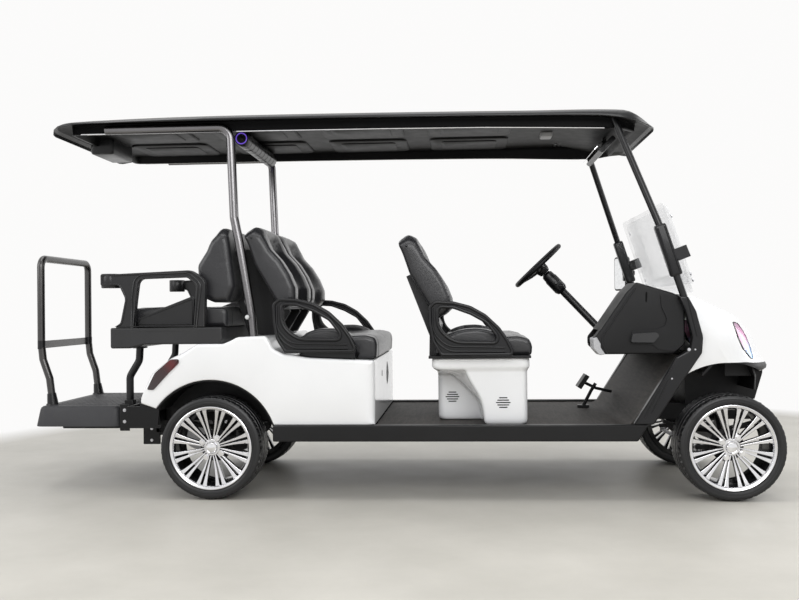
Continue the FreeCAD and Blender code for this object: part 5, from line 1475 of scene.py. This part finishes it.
steering = {
    "centre": (1.603, 0.270, 1.115), "foot": (1.925, 0.270, 0.772), "rim": 0.153, "tube": 0.0132,
    # rows are (distance down the column, radius)
    "hub": [(0.006, 0.0), (0.007, 0.024), (0.011, 0.033), (0.018, 0.0365), (0.036, 0.036), (0.056, 0.029),
            (0.058, 0.020), (0.058, 0.0)],
    "shroud": [(0.0592, 0.0), (0.0592, 0.022), (0.064, 0.0235), (0.070, 0.031), (0.094, 0.0325),
               (0.102, 0.036), (0.176, 0.036), (0.184, 0.032), (0.192, 0.028), (0.196, 0.020),
               (0.500, 0.020), (0.512, 0.028), (0.575, 0.034), (0.575, 0.0)],
    # spoke rows are (share of the way to the rim, half width, half thickness)
    "spoke": [(0.0, 0.023, 0.008), (0.35, 0.017, 0.007), (0.75, 0.014, 0.006), (1.0, 0.020, 0.007)],
    "grips": 12, "gripDeep": 0.0011, "dish": 0.026,
}
wheelCentre, columnFoot = at(*steering["centre"]), at(*steering["foot"])
columnRun = (columnFoot - wheelCentre).normalized()
acrossWheel = Vector((0, 1, 0))
upWheel = columnRun.cross(acrossWheel)
mesh = bmesh.new()
tube = steering["tube"]
turns = [2 * math.pi * k / 16 for k in range(16)]
rimRows = [(math.sin(t) * tube, steering["rim"] + math.cos(t) * tube) for t in turns]
rings = revolve(mesh, rimRows, wheelCentre, columnRun, 144)
# finger grips on the inner side of the rim
for i, ring in enumerate(rings):
    for (w, r), vert in zip(rimRows, ring):
        if r < steering["rim"]:
            out = (vert.co - wheelCentre - columnRun * w).normalized()
            wave = steering["gripDeep"] * math.cos(2 * math.pi * i / steering["grips"])
            vert.co += out * wave * (steering["rim"] - r) / tube
for angle in (0, 180, 270):
    direction = acrossWheel * math.cos(math.radians(angle)) + upWheel * math.sin(math.radians(angle))
    wide = columnRun.cross(direction)
    loops = []
    for share, half, thick in steering["spoke"]:
        sunk = steering["dish"] * (1 - share ** 1.6)
        spot = wheelCentre + direction * (0.025 + 0.126 * share) + columnRun * sunk
        loops.append([mesh.verts.new(spot + wide * half * math.cos(t) + columnRun * thick * math.sin(t))
                      for t in turns])
    skin(mesh, loops)
revolve(mesh, steering["hub"], wheelCentre, columnRun, 48, False)
makeObject("steering_wheel_rim", mesh, grainBlack, "black_plastic", ["steering_wheel"], 50, "steering_wheel")
mesh = bmesh.new()
revolve(mesh, steering["shroud"], wheelCentre, columnRun, 48, False)
# the stalk and the direction selector, as (down the column, across it) rows
for rows, radius, bend in (([(0.120, 0.02), (0.105, 0.085), (0.085, 0.135)], 0.006, 0.03),
                           ([(0.140, -0.02), (0.132, -0.075)], 0.007, 0)):
    route = [wheelCentre + columnRun * down + acrossWheel * over for down, over in rows]
    addMesh(mesh, tubeMesh(route, radius, bend))
makeObject("column_shroud", mesh, satinBlack, "black_gloss", ["steering_column"], 35)
print("controls ready")


# Mirrors

sideMirror = {"centre": (2.124, 0.660, 1.0775), "size": (0.030, 0.124, 0.199), "turn": 24}
sizeX, sizeY, sizeZ = sideMirror["size"]


def mirrorPlate(shiftX, thick, inset, corner):
    centre = at(*sideMirror["centre"])
    halfY, halfZ = sizeY / 2 - inset, sizeZ / 2 - inset
    rows = roundRect(-halfY, halfY, -halfZ, halfZ, corner)
    mesh = bmesh.new()
    skin(mesh, [[mesh.verts.new(centre + Vector((x, y, z))) for y, z in rows]
                for x in (shiftX, shiftX + thick)])
    turn = Matrix.Rotation(math.radians(sideMirror["turn"]), 3, "Z")
    bmesh.ops.rotate(mesh, verts=mesh.verts[:], cent=centre, matrix=turn)
    return mesh


mesh = mirrorPlate(-sizeX / 2, sizeX, 0.0, 0.020)
addBox(mesh, at(2.152, 0.608, 1.080), (0.070, 0.032, 0.028))
addBox(mesh, at(2.135, 0.596, 1.078), (0.034, 0.040, 0.090))
bevelled(makeObject("side_mirror_housing", mesh, satinBlack, "black_gloss", ["side_mirror"]), 0.006, 4)
glass = mirrorPlate(-sizeX / 2 - 0.0015, 0.002, 0.010, 0.014)
makeObject("side_mirror_glass", glass, mirrorGlass, "mirror_face")
softened("cabin_mirror", "cabin_mirror_housing", 0.006, satinBlack, "black_gloss")
glassRows = [(1.8485, 1.6657), (1.9165, 1.7342), (1.9150, 1.7360), (1.8470, 1.6675)]
makeObject("cabin_mirror_glass", plate(glassRows, -0.218, 0.218), mirrorGlass, "mirror_face")


# Speaker bar with ringed ends, its hangers, the rear box, and lights under the canopy

speaker = {"x": 0.105, "z": 1.7372, "half": 0.348, "radius": 0.0375}
mesh = bmesh.new()
half, r = speaker["half"], speaker["radius"]
rows = [(-half, 0.0), (-half + 0.004, r * 0.60), (-half + 0.001, r * 0.78), (-half + 0.002, r * 0.93),
        (-half + 0.008, r)]
for k in range(1, 9):
    y = -half + 2 * half * k / 9
    rows += [(y - 0.004, r), (y - 0.003, r - 0.0016), (y + 0.003, r - 0.0016), (y + 0.004, r)]
rows += [(-y, radius) for y, radius in reversed(rows[:5])]
revolve(mesh, rows, at(speaker["x"], 0, speaker["z"]), Vector((0, 1, 0)), 48, False)
for y in (-0.185, 0.185):
    addBox(mesh, at(speaker["x"], y, 1.7655), (0.036, 0.028, 0.040))
    for k in range(3):
        addBox(mesh, at(speaker["x"], y, 1.737), (0.030 + 0.008 * k, 0.030, 2 * r + 0.002 - 0.012 * k))
roundedSlab(mesh, -0.744, -0.621, -0.149, 0.149, 1.7865, 1.7090, 0.020, 0.012)
makeObject("sound_bar", mesh, satinBlack, "black_gloss", ["speakers"], 40)
glow = mouldedFinish("lit ring", (0.12, 0.05, 0.55), 0.3, 400.0, 0.00003, 0.3)
feed(glow.node_tree, glow.node_tree.nodes["Principled BSDF"],
     {"Emission Color": (0.22, 0.12, 0.80, 1), "Emission Strength": 0.45})
mesh = bmesh.new()
for side in (1, -1):
    spot = at(speaker["x"], side * (half - 0.0015), speaker["z"])
    turns = [math.pi * k / 4 for k in range(8)]
    rows = [(0.0022 * math.sin(t), r * 0.70 + 0.0030 * math.cos(t)) for t in turns]
    revolve(mesh, rows, spot, Vector((0, side, 0)), 48)
makeObject("sound_bar_rings", mesh, glow, "lamp_clear", [], 40)
mesh = bmesh.new()
roundedSlab(mesh, 1.60, 1.66, -0.05, 0.05, 1.790, 1.768, 0.012, 0.006)
makeObject("canopy_lamp", mesh, greyPlastic, "lamp_clear", [], 40)
mesh = bmesh.new()
for y in (0.30, -0.30):
    for x in (1.70 + 0.024 * k for k in range(5)):
        roundedSlab(mesh, x, x + 0.012, y - 0.05, y + 0.05, 1.790, 1.7795, 0.004, 0.002)
makeObject("canopy_vents", mesh, satinBlack, "roof_plastic", [], 40)
print("mirrors and speakers ready")


# Running gear: dampers and spring clamps, and the release knobs of the rear bench

gear = bmesh.new()
bright = bmesh.new()
eye = Vector((0, 0.016, 0))
clampRows = ((0.232, 0.262), (0.232, 0.338), (0.172, 0.338), (0.172, 0.262))
for side in (1, -1):
    for low, high in ((at(-0.060, side * 0.300, 0.200), at(0.030, side * 0.270, 0.400)),
                      (at(2.440, side * 0.300, 0.235), at(2.400, side * 0.255, 0.440))):
        addCylinder(gear, low, low.lerp(high, 0.62), 0.020, 28)
        addCylinder(bright, low.lerp(high, 0.55), high, 0.007, 20)
        for end in (low, high):
            addCylinder(gear, end + eye, end - eye, 0.012, 20)
    for x in (-0.034, 0.034):
        addMesh(gear, tubeMesh([at(x, side * y, z) for y, z in clampRows], 0.0045, 0.010, False, 2))
makeObject("dampers_and_clamps", gear, frameBlack, "frame_paint", [], 40)
makeObject("damper_rods", bright, chrome, "bare_steel", [], 40)
knob = bmesh.new()
for side in (1, -1):
    revolve(knob, [(0.0, 0.0), (0.0, 0.008), (0.006, 0.011), (0.014, 0.009), (0.018, 0.0)],
            at(0.165, side * 0.505, 0.8545), Vector((0, side, 0)), 24, False)
makeObject("release_knobs", knob, knobWhite, "black_plastic", [], 40)
print("running gear ready")


# Camera, from the photograph's own perspective

view = {"place": (1.18767, -4.85245, 0.89246), "yaw": -0.0680693, "pitch": 0.00823704, "roll": -0.0104494,
        "lens": 41.698}


def makeCamera():
    data = bpy.data.cameras.new("camera")
    data.sensor_width = 36
    data.lens = view["lens"]
    camera = addObject("camera", data)
    yaw, pitch, roll = view["yaw"], view["pitch"], view["roll"]
    forward = Vector((math.sin(yaw), math.cos(yaw), 0))
    right = Vector((math.cos(yaw), -math.sin(yaw), 0))
    up = Vector((0, 0, 1))
    ahead = forward * math.cos(pitch) + up * math.sin(pitch)
    over = up * math.cos(pitch) - forward * math.sin(pitch)
    across = right * math.cos(roll) + over * math.sin(roll)
    above = over * math.cos(roll) - right * math.sin(roll)
    turn = Matrix((across, above, -ahead)).transposed().to_4x4()
    camera.matrix_world = Matrix.Translation(at(*view["place"])) @ turn
    bpy.context.scene.camera = camera


def areaLight(name, place, target, size, power):
    data = bpy.data.lights.new(name, "AREA")
    data.shape = "RECTANGLE"
    data.size, data.size_y = size
    data.energy = power
    spot = at(*place)
    aim = (at(*target) - spot).to_track_quat("-Z", "Y").to_matrix().to_4x4()
    addObject(name, data).matrix_world = Matrix.Translation(spot) @ aim


makeCamera()
areaLight("top light", (0.9, -0.3, 4.2), (0.9, 0, 0.8), (5.0, 3.0), 130)
areaLight("front light", (2.2, -5.5, 3.2), (0.9, 0, 0.7), (4.0, 2.5), 150)
areaLight("rear fill", (-3.5, -2.5, 2.6), (0.4, 0, 0.8), (2.5, 2.5), 50)
areaLight("nose fill", (5.6, 1.0, 2.6), (1.8, 0, 0.8), (2.5, 2.5), 50)


def anyRay(tree, *kinds):
    # one where the ray is of any of the given kinds
    rays = tree.nodes.new("ShaderNodeLightPath")
    seen = rays.outputs[kinds[0]]
    for kind in kinds[1:]:
        seen = addNode(tree, "ShaderNodeMath", {0: seen, 1: rays.outputs[kind]}, "MAXIMUM").outputs[0]
    return seen


def makeStage():
    # pale floor that turns into the white backdrop some way off
    backdrop = (0.97, 0.965, 0.96, 1)
    material, tree, shader = startMaterial("pale floor", (0.50, 0.48, 0.45), 0.42)
    where = place(tree)
    cloud = noise(tree, where, 1.6, 5.0, 0.6)
    scuffs = noise(tree, where, 5.0, 5.0, 0.7)
    feed(tree, shader, {"Base Color": ramp(tree, cloud, ((0.47, 0.45, 0.40), (0.56, 0.535, 0.48))),
                        "Roughness": mapRange(tree, scuffs, 0.34, 0.6)})
    away = addNode(tree, "ShaderNodeVectorMath", {0: where, 1: at(1.3, 0.4, 0)}, "DISTANCE")
    far = mapRange(tree, away.outputs["Value"], 0.0, 1.0, 3.3, 3.8)
    seen = anyRay(tree, "Is Camera Ray", "Is Glossy Ray")
    share = addNode(tree, "ShaderNodeMath", {0: seen, 1: far}, "MULTIPLY")
    glow = addNode(tree, "ShaderNodeEmission", {"Color": backdrop})
    blend = addNode(tree, "ShaderNodeMixShader", {"Fac": share.outputs[0], 1: shader.outputs[0],
                                                  2: glow.outputs[0]})
    feed(tree, tree.nodes["Material Output"], {"Surface": blend.outputs[0]})
    mesh = bmesh.new()
    mesh.faces.new([mesh.verts.new(at(x, y, 0)) for x, y in ((-14, -12), (14, -12), (14, 14), (-14, 14))])
    data = toData("floor", mesh)
    floor = addObject("floor", data)
    data.materials.append(material)
    world = bpy.data.worlds.new("studio")
    bpy.context.scene.world = world
    world.use_nodes = True
    tree = world.node_tree
    light = feed(tree, tree.nodes["Background"], {"Color": (0.92, 0.95, 1.0, 1), "Strength": 0.55})
    white = addNode(tree, "ShaderNodeBackground", {"Color": backdrop, "Strength": 1.0})
    seen = anyRay(tree, "Is Camera Ray", "Is Transmission Ray", "Is Glossy Ray")
    mix = addNode(tree, "ShaderNodeMixShader", {"Fac": seen, 1: light.outputs[0], 2: white.outputs[0]})
    feed(tree, tree.nodes["World Output"], {"Surface": mix.outputs[0]})


makeStage()
bpy.context.scene.view_settings.view_transform = "Standard"


# The solids that show as they are take a finish here

nodeFinish = {"floor_deck": floorMat, "leaf_springs": frameBlack, "rear_axle": castIron,
              "drive_motor": motorAlloy, "tie_rod": zinc}
for node, material in nodeFinish.items():
    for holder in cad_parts[node].material_slots:
        holder.material = material

print("scene ready")
